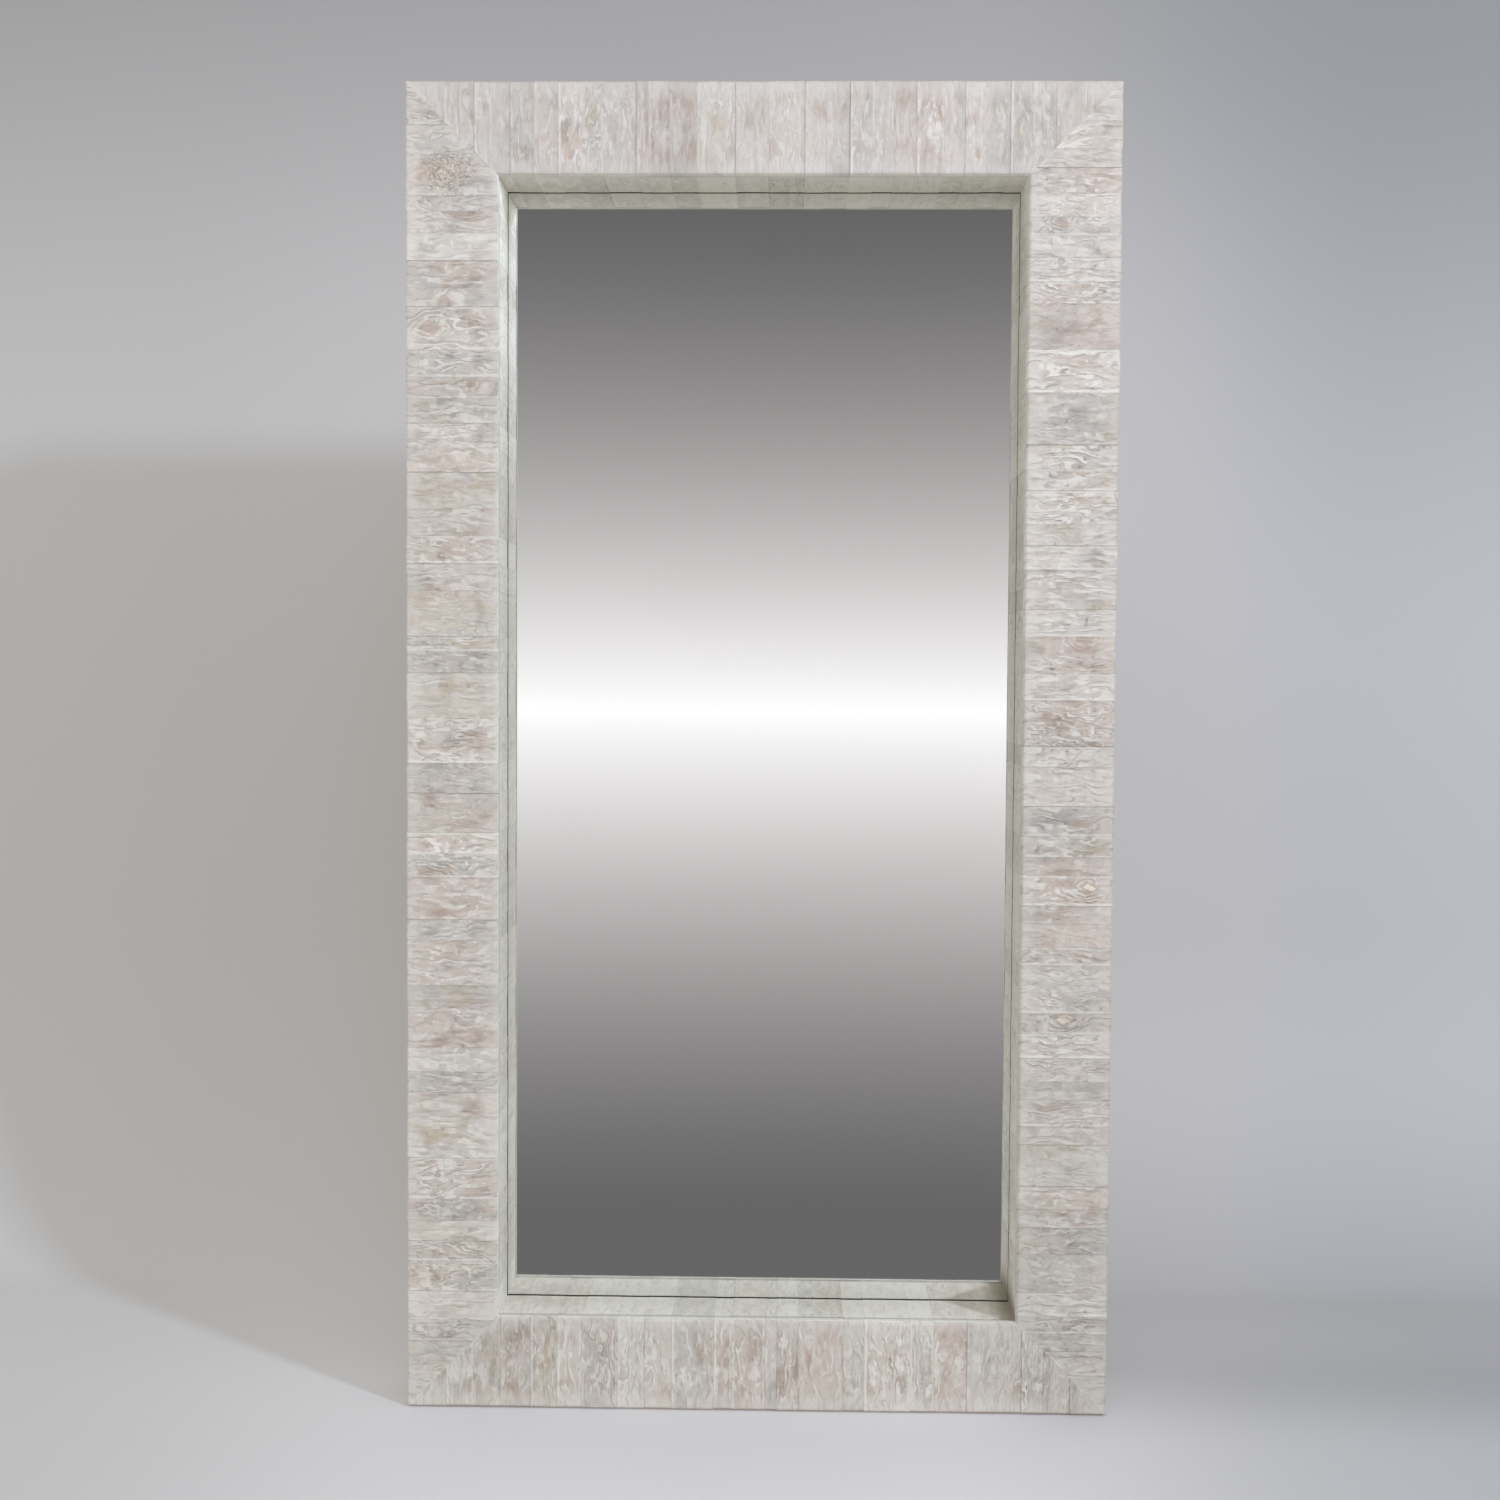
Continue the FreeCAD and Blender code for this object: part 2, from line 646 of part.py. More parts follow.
def ring_line(sketch):
    """The middle line of the ring's wire: a straight bar, two corners, two legs and a round end."""
    corner = mm.ring_corner_radius
    half_bar = mm.ring_width / 2 - corner
    round_end = mm.ring_width / 2
    round_level = round_end - mm.ring_reach
    up = Vector(0, 0, 1)
    quarter = math.pi / 2
    edges = [
        Part.LineSegment(Vector(-half_bar, 0, 0), Vector(half_bar, 0, 0)),
        Part.ArcOfCircle(Part.Circle(Vector(half_bar, -corner, 0), up, corner), 0, quarter),
        Part.LineSegment(Vector(round_end, -corner, 0), Vector(round_end, round_level, 0)),
        Part.ArcOfCircle(Part.Circle(Vector(0, round_level, 0), up, round_end), -math.pi, 0),
        Part.LineSegment(Vector(-round_end, round_level, 0), Vector(-round_end, -corner, 0)),
        Part.ArcOfCircle(Part.Circle(Vector(-half_bar, -corner, 0), up, corner), quarter, math.pi),
    ]
    for edge in edges:
        sketch.addGeometry(edge)
    join_points(sketch, [(0, 2, 1, 2), (1, 1, 2, 1), (2, 2, 3, 2), (3, 1, 4, 1), (4, 2, 5, 2),
                         (5, 1, 0, 1)])
    bar_end = "ring_width / 2 - ring_corner_radius"
    fix_point(sketch, 0, 1, f"-({bar_end})", "0")
    fix_point(sketch, 0, 2, bar_end, "0")
    fix_point(sketch, 2, 1, "ring_width / 2", "-ring_corner_radius")
    fix_point(sketch, 2, 2, "ring_width / 2", "ring_width / 2 - ring_reach")
    fix_point(sketch, 4, 1, "-ring_width / 2", "ring_width / 2 - ring_reach")
    fix_point(sketch, 4, 2, "-ring_width / 2", "-ring_corner_radius")
    hold(sketch, "DistanceX", 1, 3, bar_end)
    hold(sketch, "DistanceY", 3, 3, "ring_width / 2 - ring_reach")
    hold(sketch, "DistanceX", 5, 3, f"-({bar_end})")


def make_ring(side, across):
    """A wire ring whose straight bar turns in the strap's curl."""
    name = f"{side}_hanger_ring"
    body = new_body(name)
    line = new_sketch(body, f"{name}_line", "XZ_Plane")
    ring_line(line)
    section = new_sketch(body, f"{name}_section", "YZ_Plane")
    section.addGeometry(Part.Circle(Vector(), Vector(0, 0, 1), 1))
    fix_point(section, 0, 3, "0", "0")
    index = section.addConstraint(Sketcher.Constraint("Diameter", 0, 1.0))
    bind(section, f"Constraints[{index}]", "ring_wire")
    doc.recompute()
    wire = body.newObject("PartDesign::AdditivePipe", f"{name}_wire")
    wire.Profile = section
    wire.Spine = (line, [])
    level = Vector(across, mm.back_plane + mm.bar_standoff, mm.hanger_level)
    body.Placement = Placement(level, Rotation())
    keep(body)


# Rubber and felt
def make_bumpers():
    """Round rubber bumpers that keep the rear boards off the wall."""
    bumper = Part.makeCylinder(mm.bumper_diameter / 2, mm.bumper_height, Vector(), Vector(0, 1, 0))
    rim = [edge for edge in bumper.Edges if edge.BoundBox.YMin > mm.bumper_height / 2]
    bumper = bumper.makeFillet(mm.bumper_rounding, rim)
    level = mm.half_height - mm.bumper_inset
    spots = [Vector(right * mm.hanger_across, mm.back_plane, mm.frame_middle + up * level)
             for right in (-1, 1) for up in (-1, 1)]
    group("wall_bumpers", [moved(bumper, Placement(spot, Rotation())) for spot in spots])


def make_glides():
    """Felt glides under the bottom edge, two behind the face staves and two at the back."""
    glide = Part.makeCylinder(mm.glide_diameter / 2, mm.glide_height)
    x = mm.half_width - mm.glide_side_inset
    inset = mm.glide_edge_gap + mm.glide_diameter / 2
    rows = (mm.front_plane + mm.stave_thickness + inset, mm.back_plane - inset)
    spots = [Vector(right * x, y, 0) for right in (-1, 1) for y in rows]
    group("floor_glides", [moved(glide, Placement(spot, Rotation())) for spot in spots])


for side_name in side_turns:
    make_face_staves(side_name)
    make_side_staves(side_name)
    make_lining_staves(side_name)
    make_carcass(side_name)
make_corner_blocks()
make_spacer_blocks()
make_glass()
make_setting_blocks()
make_back_panel()
make_corner_plates()
make_strap("left", -mm.hanger_across)
make_strap("right", mm.hanger_across)
make_ring("left", -mm.hanger_across)
make_ring("right", mm.hanger_across)
make_all_screws()
make_bumpers()
make_glides()
doc.recompute()

faults = [f"{item.Label}: {item.State}" for item in doc.Objects
          if "Invalid" in item.State or "Error" in item.State]
faults += [f"{piece.Label}: no valid shape" for piece in subparts
           if piece.Shape.isNull() or not piece.Shape.isValid() or not piece.Shape.Solids]
if faults:
    sys.exit("\n".join(faults))

os.makedirs("parts", exist_ok=True)
for piece in subparts:
    piece.Shape.exportStep(f"parts/{piece.Label}.step")
    print(f"{piece.Label}: {len(piece.Shape.Solids)} solids, {piece.Shape.Volume / 1000:.1f} cm3")
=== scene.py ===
import json
import math
import random

import bpy
import numpy as np
from mathutils import Matrix, Vector

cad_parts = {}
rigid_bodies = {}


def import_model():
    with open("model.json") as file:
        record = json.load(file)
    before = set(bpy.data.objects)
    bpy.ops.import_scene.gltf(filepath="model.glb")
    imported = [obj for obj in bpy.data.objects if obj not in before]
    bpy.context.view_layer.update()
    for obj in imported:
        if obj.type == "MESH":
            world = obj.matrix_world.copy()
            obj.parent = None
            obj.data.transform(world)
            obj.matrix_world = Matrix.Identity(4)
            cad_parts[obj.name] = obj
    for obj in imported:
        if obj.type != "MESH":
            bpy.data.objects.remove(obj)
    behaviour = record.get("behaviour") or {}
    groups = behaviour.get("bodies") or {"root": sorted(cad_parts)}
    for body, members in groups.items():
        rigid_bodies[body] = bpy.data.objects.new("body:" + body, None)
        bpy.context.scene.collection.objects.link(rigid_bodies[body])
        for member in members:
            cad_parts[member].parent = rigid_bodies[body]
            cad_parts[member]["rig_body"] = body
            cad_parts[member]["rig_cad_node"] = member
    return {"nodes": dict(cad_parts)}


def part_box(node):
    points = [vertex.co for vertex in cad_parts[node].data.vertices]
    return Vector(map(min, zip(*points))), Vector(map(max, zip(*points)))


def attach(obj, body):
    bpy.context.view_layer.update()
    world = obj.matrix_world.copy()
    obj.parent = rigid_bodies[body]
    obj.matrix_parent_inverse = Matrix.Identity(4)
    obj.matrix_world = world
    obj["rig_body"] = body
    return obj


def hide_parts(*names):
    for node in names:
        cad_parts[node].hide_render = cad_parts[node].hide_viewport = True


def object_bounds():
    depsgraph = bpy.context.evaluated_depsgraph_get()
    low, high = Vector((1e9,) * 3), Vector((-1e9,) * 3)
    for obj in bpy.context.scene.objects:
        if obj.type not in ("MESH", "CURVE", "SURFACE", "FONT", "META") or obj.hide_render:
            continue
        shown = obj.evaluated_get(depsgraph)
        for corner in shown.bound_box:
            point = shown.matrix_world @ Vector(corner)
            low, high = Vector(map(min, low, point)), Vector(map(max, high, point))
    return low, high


# A tall mirror in a deep box frame, faced with whitewashed reclaimed staves.
# Metres. +Z up, the mirror faces -Y, +X is on the right as one faces the mirror.

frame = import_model()
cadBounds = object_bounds()
nodes = frame["nodes"]
close = 0.001  # how near a point lies to a plane that it counts with
tiny = 0.0001
smoothAngle = math.radians(40)
chance = random.Random(4117)


# selection and small mesh helpers

def onlySelect(*objects):
    bpy.ops.object.select_all(action="DESELECT")
    for item in objects:
        item.select_set(True)
    bpy.context.view_layer.objects.active = objects[0]


def editMode(kind="FACE"):
    bpy.ops.object.mode_set(mode="EDIT")
    bpy.ops.mesh.select_mode(type=kind)


def editAll(kind="FACE"):
    editMode(kind)
    bpy.ops.mesh.select_all(action="SELECT")


def objectMode():
    bpy.ops.object.mode_set(mode="OBJECT")


def readAll(elements, field, size, kind=np.float32):
    flat = np.empty(len(elements) * size, kind)
    elements.foreach_get(field, flat)
    return flat.reshape(-1, size)


def pointsOf(mesh):
    return readAll(mesh.vertices, "co", 3).astype(float)


def setPoints(mesh, points):
    mesh.vertices.foreach_set("co", points.astype(np.float32).ravel())
    mesh.update()


def pick(mesh, vertexMask=None, edgeMask=None):
    # marks what the next edit-mode operator works on
    for elements, mask in ((mesh.vertices, vertexMask), (mesh.edges, edgeMask), (mesh.polygons, None)):
        chosen = np.zeros(len(elements), bool) if mask is None else mask
        elements.foreach_set("select", chosen)


def pickEdges(mesh, chosenPoints):
    # the edges that have both ends among the chosen points
    ends = readAll(mesh.edges, "vertices", 2, np.int32)
    pick(mesh, edgeMask=chosenPoints[ends].all(axis=1))


def mergedCopy(nodeName, newName):
    # a CAD node's mesh is loose triangles, so its copy is merged and its flat faces joined
    copy = nodes[nodeName].copy()
    copy.data = nodes[nodeName].data.copy()
    copy.name = newName
    copy.parent = None
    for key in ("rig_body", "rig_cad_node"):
        del copy[key]
    copy.data.materials.clear()
    bpy.context.scene.collection.objects.link(copy)
    onlySelect(copy)
    editAll("VERT")
    bpy.ops.mesh.remove_doubles(threshold=0.00002)
    bpy.ops.mesh.dissolve_limited(angle_limit=math.radians(0.5))
    objectMode()
    bpy.ops.mesh.customdata_custom_splitnormals_clear()
    bpy.ops.object.shade_flat()
    return copy


def applyModifier(piece, kind, **settings):
    onlySelect(piece)
    modifier = piece.modifiers.new(kind.lower(), kind)
    for name, value in settings.items():
        setattr(modifier, name, value)
    bpy.ops.object.modifier_apply(modifier=modifier.name)


# camera, studio and light

viewpoint = {"place": (0.03966, -2.6794, 1.06605), "turn": 1.156, "tilt": -2.268, "roll": 0.324,
             "lens": 43.99}
studio = {
    "wallGap": 0.693,  # from the back of the mirror to the wall
    "cove": (0.30, 0.60),  # how far it reaches over the floor and up the wall
    "width": 16,
    "front": 9,
    "behindWall": 8,
    "height": 7,
    "colour": (0.550, 0.541, 0.575, 1),
    "coolSide": (0.985, 1.0, 1.035, 1),  # painted cool light on the paper at the far right
    "topShade": (1.35, 2.75, 0.56),  # painted shade: where the wall starts to darken upwards, where it ends, and how dark
    "lowerAtRight": 0.34,  # how much lower the painted shade starts at the right
    "ambient": (0.720, 0.719, 0.651, 1),
    "behind": (0.52, 0.525, 0.53, 1),  # what the camera sees past the floor
}
paperZones = {  # painted light and shade on the paper: how much lighter each zone is (darker where negative), and its ramps, which start and end at these metres
    "floorInFront": (0.19, ("deep", 0.4, -0.35), ("right", -0.9, -0.2), ("right", 0.8, 0.2)),
    "sweepAtRight": (-0.25, ("sweep", -0.2, 0.16), ("sweep", 1.15, 0.4), ("right", 0.3, 0.5)),
    # painted light that makes up for the light the mirror keeps from the wall behind it
    "behindMirror": (0.10, ("aside", 1.15, 0.5), ("height", 2.3, 1.7)),
    "floorAtRight": (-0.12, ("deep", 0.3, 0), ("right", 0.2, 0.8)),
    "rightSide": (-0.08, ("right", 0.3, 1.2)),
}
lamps = {
    "key": {"kind": "AREA", "direction": (1.28, -1, 0.61), "aim": (-0.5, 0, 1.9), "distance": 7,
            "power": 205, "size": 0.5, "colour": (0.79, 0.87, 1.01)},
    "overhead": {"kind": "AREA", "direction": (0.0, -0.8, 1.0), "aim": (0, 0, 1), "distance": 4,
                 "power": 30, "size": 2.4, "colour": (0.97, 0.98, 1.0)},
    "beam": {"kind": "SPOT", "direction": (2.0, -0.25, 0.05), "aim": (-0.3755, 0, 1.80),
             "distance": 7, "power": 1240, "spot_size": math.radians(6), "spot_blend": 1,
             "shadow_soft_size": 0.3, "colour": (0.86, 0.95, 1.0)},
}
reflectedStudio = {  # the bright band that the mirror shows, its angles in degrees
    "bright": 1.036,
    "dark": 0.41,
    "brightAngle": -1.05,
    "reach": 15.2,
    "falloff": 1.24,
    "screenGamma": 2.2,
    "surround": 0.66,
    "bandHeight": (19, 32),
    "bandWidth": (0.22, 0.5),
    "warmth": (1, 0.95, 0.96),
}


def setCamera():
    bpy.ops.object.camera_add()
    camera = bpy.context.object
    camera.name = "camera"
    camera.data.lens = viewpoint["lens"]
    camera.data.sensor_width = 36
    turn = Matrix.Rotation(math.radians(viewpoint["turn"]), 4, "Z")
    tilt = Matrix.Rotation(math.radians(90 + viewpoint["tilt"]), 4, "X")
    roll = Matrix.Rotation(math.radians(viewpoint["roll"]), 4, "Z")
    camera.matrix_world = Matrix.Translation(viewpoint["place"]) @ turn @ tilt @ roll
    bpy.context.scene.camera = camera
    bpy.context.scene.view_settings.view_transform = "Standard"


def modelStudio():
    wallPlace = cadBounds[1].y + studio["wallGap"]
    bpy.ops.mesh.primitive_plane_add(size=1)
    cove = bpy.context.object
    cove.name = "studioCove"
    editMode("EDGE")
    length = wallPlace + studio["front"]
    bpy.ops.transform.resize(value=(studio["width"], length, 1))
    bpy.ops.transform.translate(value=(0, wallPlace - length / 2, 0))
    objectMode()
    pickEdges(cove.data, pointsOf(cove.data)[:, 1] > wallPlace - close)
    editMode("EDGE")
    bpy.ops.mesh.extrude_region_move(TRANSFORM_OT_translate={"value": (0, 0, studio["height"])})
    objectMode()
    points = pointsOf(cove.data)
    pickEdges(cove.data, (points[:, 1] > wallPlace - close) & (points[:, 2] < close))
    editMode("EDGE")
    reach, rise = studio["cove"]
    bpy.ops.mesh.bevel(offset=reach, segments=32)
    objectMode()
    pick(cove.data, vertexMask=pointsOf(cove.data)[:, 2] < reach + close)
    editMode("VERT")
    bpy.ops.transform.resize(value=(1, 1, rise / reach), center_override=(0, 0, 0))
    objectMode()
    if cove.data.polygons[0].normal.z < 0:
        editAll()
        bpy.ops.mesh.flip_normals()
        objectMode()
    bpy.ops.object.shade_smooth()
    # the floor goes on behind the paper, for a view from the back
    bpy.ops.mesh.primitive_plane_add(size=1)
    farFloor = bpy.context.object
    farFloor.name = "studioFarFloor"
    editMode("EDGE")
    bpy.ops.transform.resize(value=(studio["width"], studio["behindWall"], 1))
    bpy.ops.transform.translate(value=(0, wallPlace - reach + studio["behindWall"] / 2, 0))
    objectMode()
    for paper in (cove, farFloor):
        for ray in ("diffuse", "glossy", "transmission", "shadow"):
            setattr(paper, f"visible_{ray}", False)
    return cove, farFloor


def setLamps():
    for name, values in lamps.items():
        direction = Vector(values["direction"]).normalized()
        place = Vector(values["aim"]) + direction * values["distance"]
        bpy.ops.object.light_add(type=values["kind"], location=place)
        lamp = bpy.context.object
        lamp.name = f"{name}Light"
        lamp.data.energy = values["power"]
        lamp.data.color = values["colour"]
        for setting in ("size", "spot_size", "spot_blend", "shadow_soft_size"):
            if setting in values:
                setattr(lamp.data, setting, values[setting])
        lamp.rotation_euler = direction.to_track_quat("Z", "Y").to_euler()
        lamp.visible_glossy = False
        lamp.visible_transmission = False


# shader graphs written as sums

class Tap:
    # one socket of a graph, which the signs of arithmetic work on
    def __init__(self, graph, socket):
        self.graph = graph
        self.socket = socket

    def math(self, operation, *others):
        return self.graph.add("ShaderNodeMath", {"operation": operation}, self, *others)

    def __add__(self, other):
        return self.math("ADD", other)

    def __sub__(self, other):
        return self.math("SUBTRACT", other)

    def __rsub__(self, other):
        return self.graph.add("ShaderNodeMath", {"operation": "SUBTRACT"}, other, self)

    def __mul__(self, other):
        return self.math("MULTIPLY", other)

    def __truediv__(self, other):
        return self.math("DIVIDE", other)

    def __pow__(self, other):
        return self.math("POWER", other)

    __radd__, __rmul__ = __add__, __mul__


class Graph:
    # a material's or a world's nodes
    def __init__(self, owner):
        owner.use_nodes = True
        self.tree = owner.node_tree
        self.tree.nodes.clear()

    def add(self, kind, settings, *values, out=0, **named):
        node = self.tree.nodes.new(kind)
        for name, value in settings.items():
            setattr(node, name, value)
        for index, value in enumerate(values):
            self.feed(node.inputs[index], value)
        for name, value in named.items():
            self.feed(self.inputOf(node, name), value)
        return Tap(self, node.outputs[out]) if node.outputs else None

    def inputOf(self, node, name):
        wanted = name.lower()
        return next(s for s in node.inputs if s.enabled and s.name.replace(" ", "").lower() == wanted)

    def feed(self, socket, value):
        if isinstance(value, Tap):
            self.tree.links.new(value.socket, socket)
        else:
            socket.default_value = value

    def attribute(self, name, out=1):
        return self.add("ShaderNodeAttribute", {"attribute_name": name}, out=out)

    def part(self, vector, index):
        return self.add("ShaderNodeSeparateXYZ", {}, vector, out=index)

    def parts(self, vector):
        return [self.part(vector, index) for index in range(3)]

    def vector(self, *parts):
        return self.add("ShaderNodeCombineXYZ", {}, *parts)

    def stretched(self, vector, scale):
        return self.add("ShaderNodeVectorMath", {"operation": "MULTIPLY"}, vector, scale)

    def moved(self, vector, shift):
        return self.add("ShaderNodeVectorMath", {"operation": "ADD"}, vector, shift)

    def noise(self, vector, detail=2, roughness=0.5, distortion=0):
        return self.add("ShaderNodeTexNoise", {}, vector=vector, scale=1, detail=detail,
                        roughness=roughness, distortion=distortion)

    def pattern(self, vector, stretch, *settings):
        return self.noise(self.stretched(vector, stretch), *settings)

    def ramp(self, value, low, high, first=0, last=1):
        # goes smoothly from first at low to last at high
        settings = {"interpolation_type": "SMOOTHSTEP"}
        return self.add("ShaderNodeMapRange", settings, value, low, high, first, last)

    def inside(self, measures, ramps):
        # 1 inside a zone, which the ramps of its measures bound
        share = 1
        for measure, start, end in ramps:
            share = self.ramp(measures[measure], start, end) * share
        return share

    def mix(self, factor, first, second, blend="MIX"):
        node = self.tree.nodes.new("ShaderNodeMix")
        node.data_type = "RGBA"
        node.blend_type = blend
        sockets = [s for s in node.inputs if s.enabled]
        for socket, value in zip(sockets, (factor, first, second)):
            self.feed(socket, value)
        return Tap(self, next(s for s in node.outputs if s.enabled))

    def dimmed(self, colour, level):
        return self.mix(1, colour, self.vector(level, level, level), "MULTIPLY")

    def bump(self, height, distance):
        return self.add("ShaderNodeBump", {}, height=height, distance=distance, strength=1)

    def principled(self, **values):
        shader = self.add("ShaderNodeBsdfPrincipled", {}, **values)
        self.add("ShaderNodeOutputMaterial", {}, shader)
        return shader


def newMaterial(name):
    # with its graph and, in it, the place on the object
    material = bpy.data.materials.new(name)
    graph = Graph(material)
    return material, graph, graph.add("ShaderNodeTexCoord", {}, out=3)


def studioMaterial():
    # paper with painted shade that darkens it upwards, painted light towards the front of the floor, and
    # painted light and shade in the zones below
    material, graph, place = newMaterial("studioPaper")
    facing = graph.add("ShaderNodeNewGeometry", {}, out=6)
    right, deep, height = graph.parts(place)
    measures = {"right": right, "deep": deep, "height": height, "sweep": deep + height,
                "aside": right.math("ABSOLUTE")}
    rightSide = graph.inside(measures, paperZones["rightSide"][1:])
    low, high, dark = studio["topShade"]
    level = graph.ramp(height + rightSide * studio["lowerAtRight"], low, high, 1, dark)
    for lighter, *ramps in paperZones.values():
        level = level * (1 + graph.inside(measures, ramps) * lighter)
    tint = graph.dimmed(graph.mix(rightSide, (1, 1, 1, 1), studio["coolSide"]), level)
    lit = graph.add("ShaderNodeBsdfDiffuse", {}, graph.mix(1, studio["colour"], tint, "MULTIPLY"))
    clear = graph.add("ShaderNodeBsdfTransparent", {})
    shown = graph.add("ShaderNodeMixShader", {}, facing, lit, clear)
    graph.add("ShaderNodeOutputMaterial", {}, shown)
    return material


def setWorld():
    world = bpy.data.worlds.new("studioWorld")
    bpy.context.scene.world = world
    graph = Graph(world)
    look = reflectedStudio
    direction = graph.add("ShaderNodeTexCoord", {}, out=0)
    height = graph.part(direction, 2)
    angle = height.math("ARCSINE")
    away = (angle - math.radians(look["brightAngle"])).math("ABSOLUTE")
    share = (1 - away / math.radians(look["reach"])).math("MAXIMUM", 0)
    grey = look["dark"] + (look["bright"] - look["dark"]) * share ** look["falloff"]
    grey = grey ** look["screenGamma"]
    sideways = graph.part(direction, 0).math("ABSOLUTE")
    lowSteep, highSteep = (math.radians(limit) for limit in look["bandHeight"])
    beside = graph.ramp(sideways, *look["bandWidth"])
    outside = graph.ramp(angle.math("ABSOLUTE"), lowSteep, highSteep).math("MAXIMUM", beside)
    grey = grey + (look["surround"] - grey) * outside
    between = share * (1 - share) * 4 * (1 - outside)
    parts = [grey * (1 - (1 - part) * between) for part in look["warmth"]]
    reflected = graph.vector(*parts)
    rays = graph.tree.nodes.new("ShaderNodeLightPath")
    seen = {s.name: Tap(graph, s) for s in rays.outputs}
    mirrored = seen["Is Glossy Ray"].math("MAXIMUM", seen["Is Transmission Ray"])
    plain = graph.mix(seen["Is Camera Ray"], studio["ambient"], studio["behind"])
    light = graph.mix(mirrored, plain, reflected)
    graph.add("ShaderNodeOutputWorld", {}, graph.add("ShaderNodeBackground", {}, light, 1))


# staves

faceStaves = {
    "slot": "whitewashed_face_staves",
    "blankWidths": (0.020, 0.031, 0.045, 0.062),  # each stave is made from the blank nearest in width
    "blankThickness": 0.0115,
    "cell": (0.00105, 0.0021),  # across and along the grain
    "ease": 0.00014,
    "openJoint": (0.0001, 0.0004),
    "openShare": 0.06,
    "step": 0.0007,  # how much lower the lowest stave lies
    "uneven": 0.0006,  # how much shorter the shortest stave is at the outer edge
    "lip": 0.005,  # how round the inner ends are
    "slope": 2.2,  # how far the grain leans off the stave's length, in degrees
    "ringSpacing": (0.0055, 0.0090),
    "ringStretch": (3.2, 6.5),
    "ringDepth": 0.00055,
    "hollowDepth": 0.0005,
    "fibreDepth": 0.0003,
    "wildShare": 0.6,
    "topRelief": 0.4,  # the top staves are smoother
    "knotShare": 0.03,
    "ringTilt": 0.35,  # how unevenly the rings lean
    "patternPlace": (2, 40),  # metres into the patterns, so that no two staves share a mark
}
revealStaves = dict(faceStaves, slot="whitewashed_reveal_staves", cell=(0.0025, 0.004),
                    ringDepth=0.00010, hollowDepth=0.0002, fibreDepth=0.00008, openShare=0.05,
                    openJoint=(0.0001, 0.0002), step=0.0001, uneven=0, lip=0, knotShare=0)
edgeStaves = dict(faceStaves, slot="whitewashed_edge_staves", cell=(0.0017, 0.0034), uneven=0,
                  lip=0, knotShare=0)
brush = {
    "depth": 0.006,  # how far behind the face it still reaches
    "atEnds": 0.15,  # its share at the very ends, and how fast it grows from there
    "fromEnds": 7,
    "atRims": 0.25,
    "rimWidth": 0.005,
    "calmRings": {"wood_type": "BANDNOISE", "noise_scale": 0.9, "turbulence": 11},
    "wildRings": {"wood_type": "BANDNOISE", "noise_scale": 1.3, "turbulence": 34},
    "hollows": {"noise_scale": 1.1, "noise_depth": 2},
    "fibres": {"noise_scale": 0.17, "noise_depth": 1},
}
knots = {
    "radius": (0.006, 0.012),
    "stretch": 1.6,
    "spread": (0.3, 0.35),  # how far from the middle of its stave, as shares of its width and length
    # across, up, radius, and 1 for a pale heart
    "placed": ((0.472, 0.768, 0.010, 1), (0.465, 1.122, 0.009, 0), (0.437, 0.578, 0.011, 1)),
}
# for each side: where the grain runs from the outer edge inwards
inwards = {"left": Vector((1, 0, 0)), "right": Vector((-1, 0, 0)), "top": Vector((0, 0, -1)),
           "bottom": Vector((0, 0, 1))}
forwards = Vector((0, -1, 0))
frameEdge = {
    "left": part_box("left_face_staves_upper")[0].x,
    "right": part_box("right_face_staves_upper")[1].x,
    "top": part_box("top_face_staves_left")[1].z,
    "bottom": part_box("bottom_face_staves_left")[0].z,
}
innerEdge = {  # the faces of the reveal, which the inner ends of the staves are flush with
    "left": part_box("left_reveal_staves")[1].x,
    "right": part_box("right_reveal_staves")[0].x,
    "top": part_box("top_reveal_staves")[0].z,
    "bottom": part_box("bottom_reveal_staves")[1].z,
}
mitreGap = 0.00005
mitredBy = 0.004  # a stave this much shorter than the full ones has a mitred end
jointGap = 0.0003  # between neighbouring staves of the solid model
ringUnit = 0.314  # one ring of the band texture


def staveBoxes(nodeName):
    # the box around each stave of a CAD node
    copy = mergedCopy(nodeName, "staveCopy")
    editAll()
    bpy.ops.mesh.separate(type="LOOSE")
    objectMode()
    boxes = []
    for part in list(bpy.context.selected_objects):
        points = pointsOf(part.data)
        boxes.append((Vector(points.min(axis=0)), Vector(points.max(axis=0))))
        bpy.data.meshes.remove(part.data)
    return boxes


def modelBlank(width, length, thickness, look):
    # one stave lying face up, its grain along Y and its face at Z 0
    columns = max(4, round(width / look["cell"][0]))
    rows = max(4, round(length / look["cell"][1]))
    bpy.ops.mesh.primitive_grid_add(x_subdivisions=columns, y_subdivisions=rows, size=1)
    blank = bpy.context.object
    editMode()
    bpy.ops.transform.resize(value=(width, length, 1))
    bpy.ops.mesh.extrude_region_move(TRANSFORM_OT_translate={"value": (0, 0, -thickness)})
    bpy.ops.mesh.dissolve_faces()
    bpy.ops.mesh.select_all(action="SELECT")
    bpy.ops.mesh.normals_make_consistent(inside=False)
    objectMode()
    points = pointsOf(blank.data)
    rim = (points[:, 2] > -tiny) & ((abs(points[:, 0]) > width / 2 - tiny)
                                    | (abs(points[:, 1]) > length / 2 - tiny))
    pickEdges(blank.data, rim)
    editMode("EDGE")
    bpy.ops.mesh.bevel(offset=look["ease"], segments=2, profile=0.6)
    objectMode()
    blank["size"] = (width, length, thickness)
    return blank


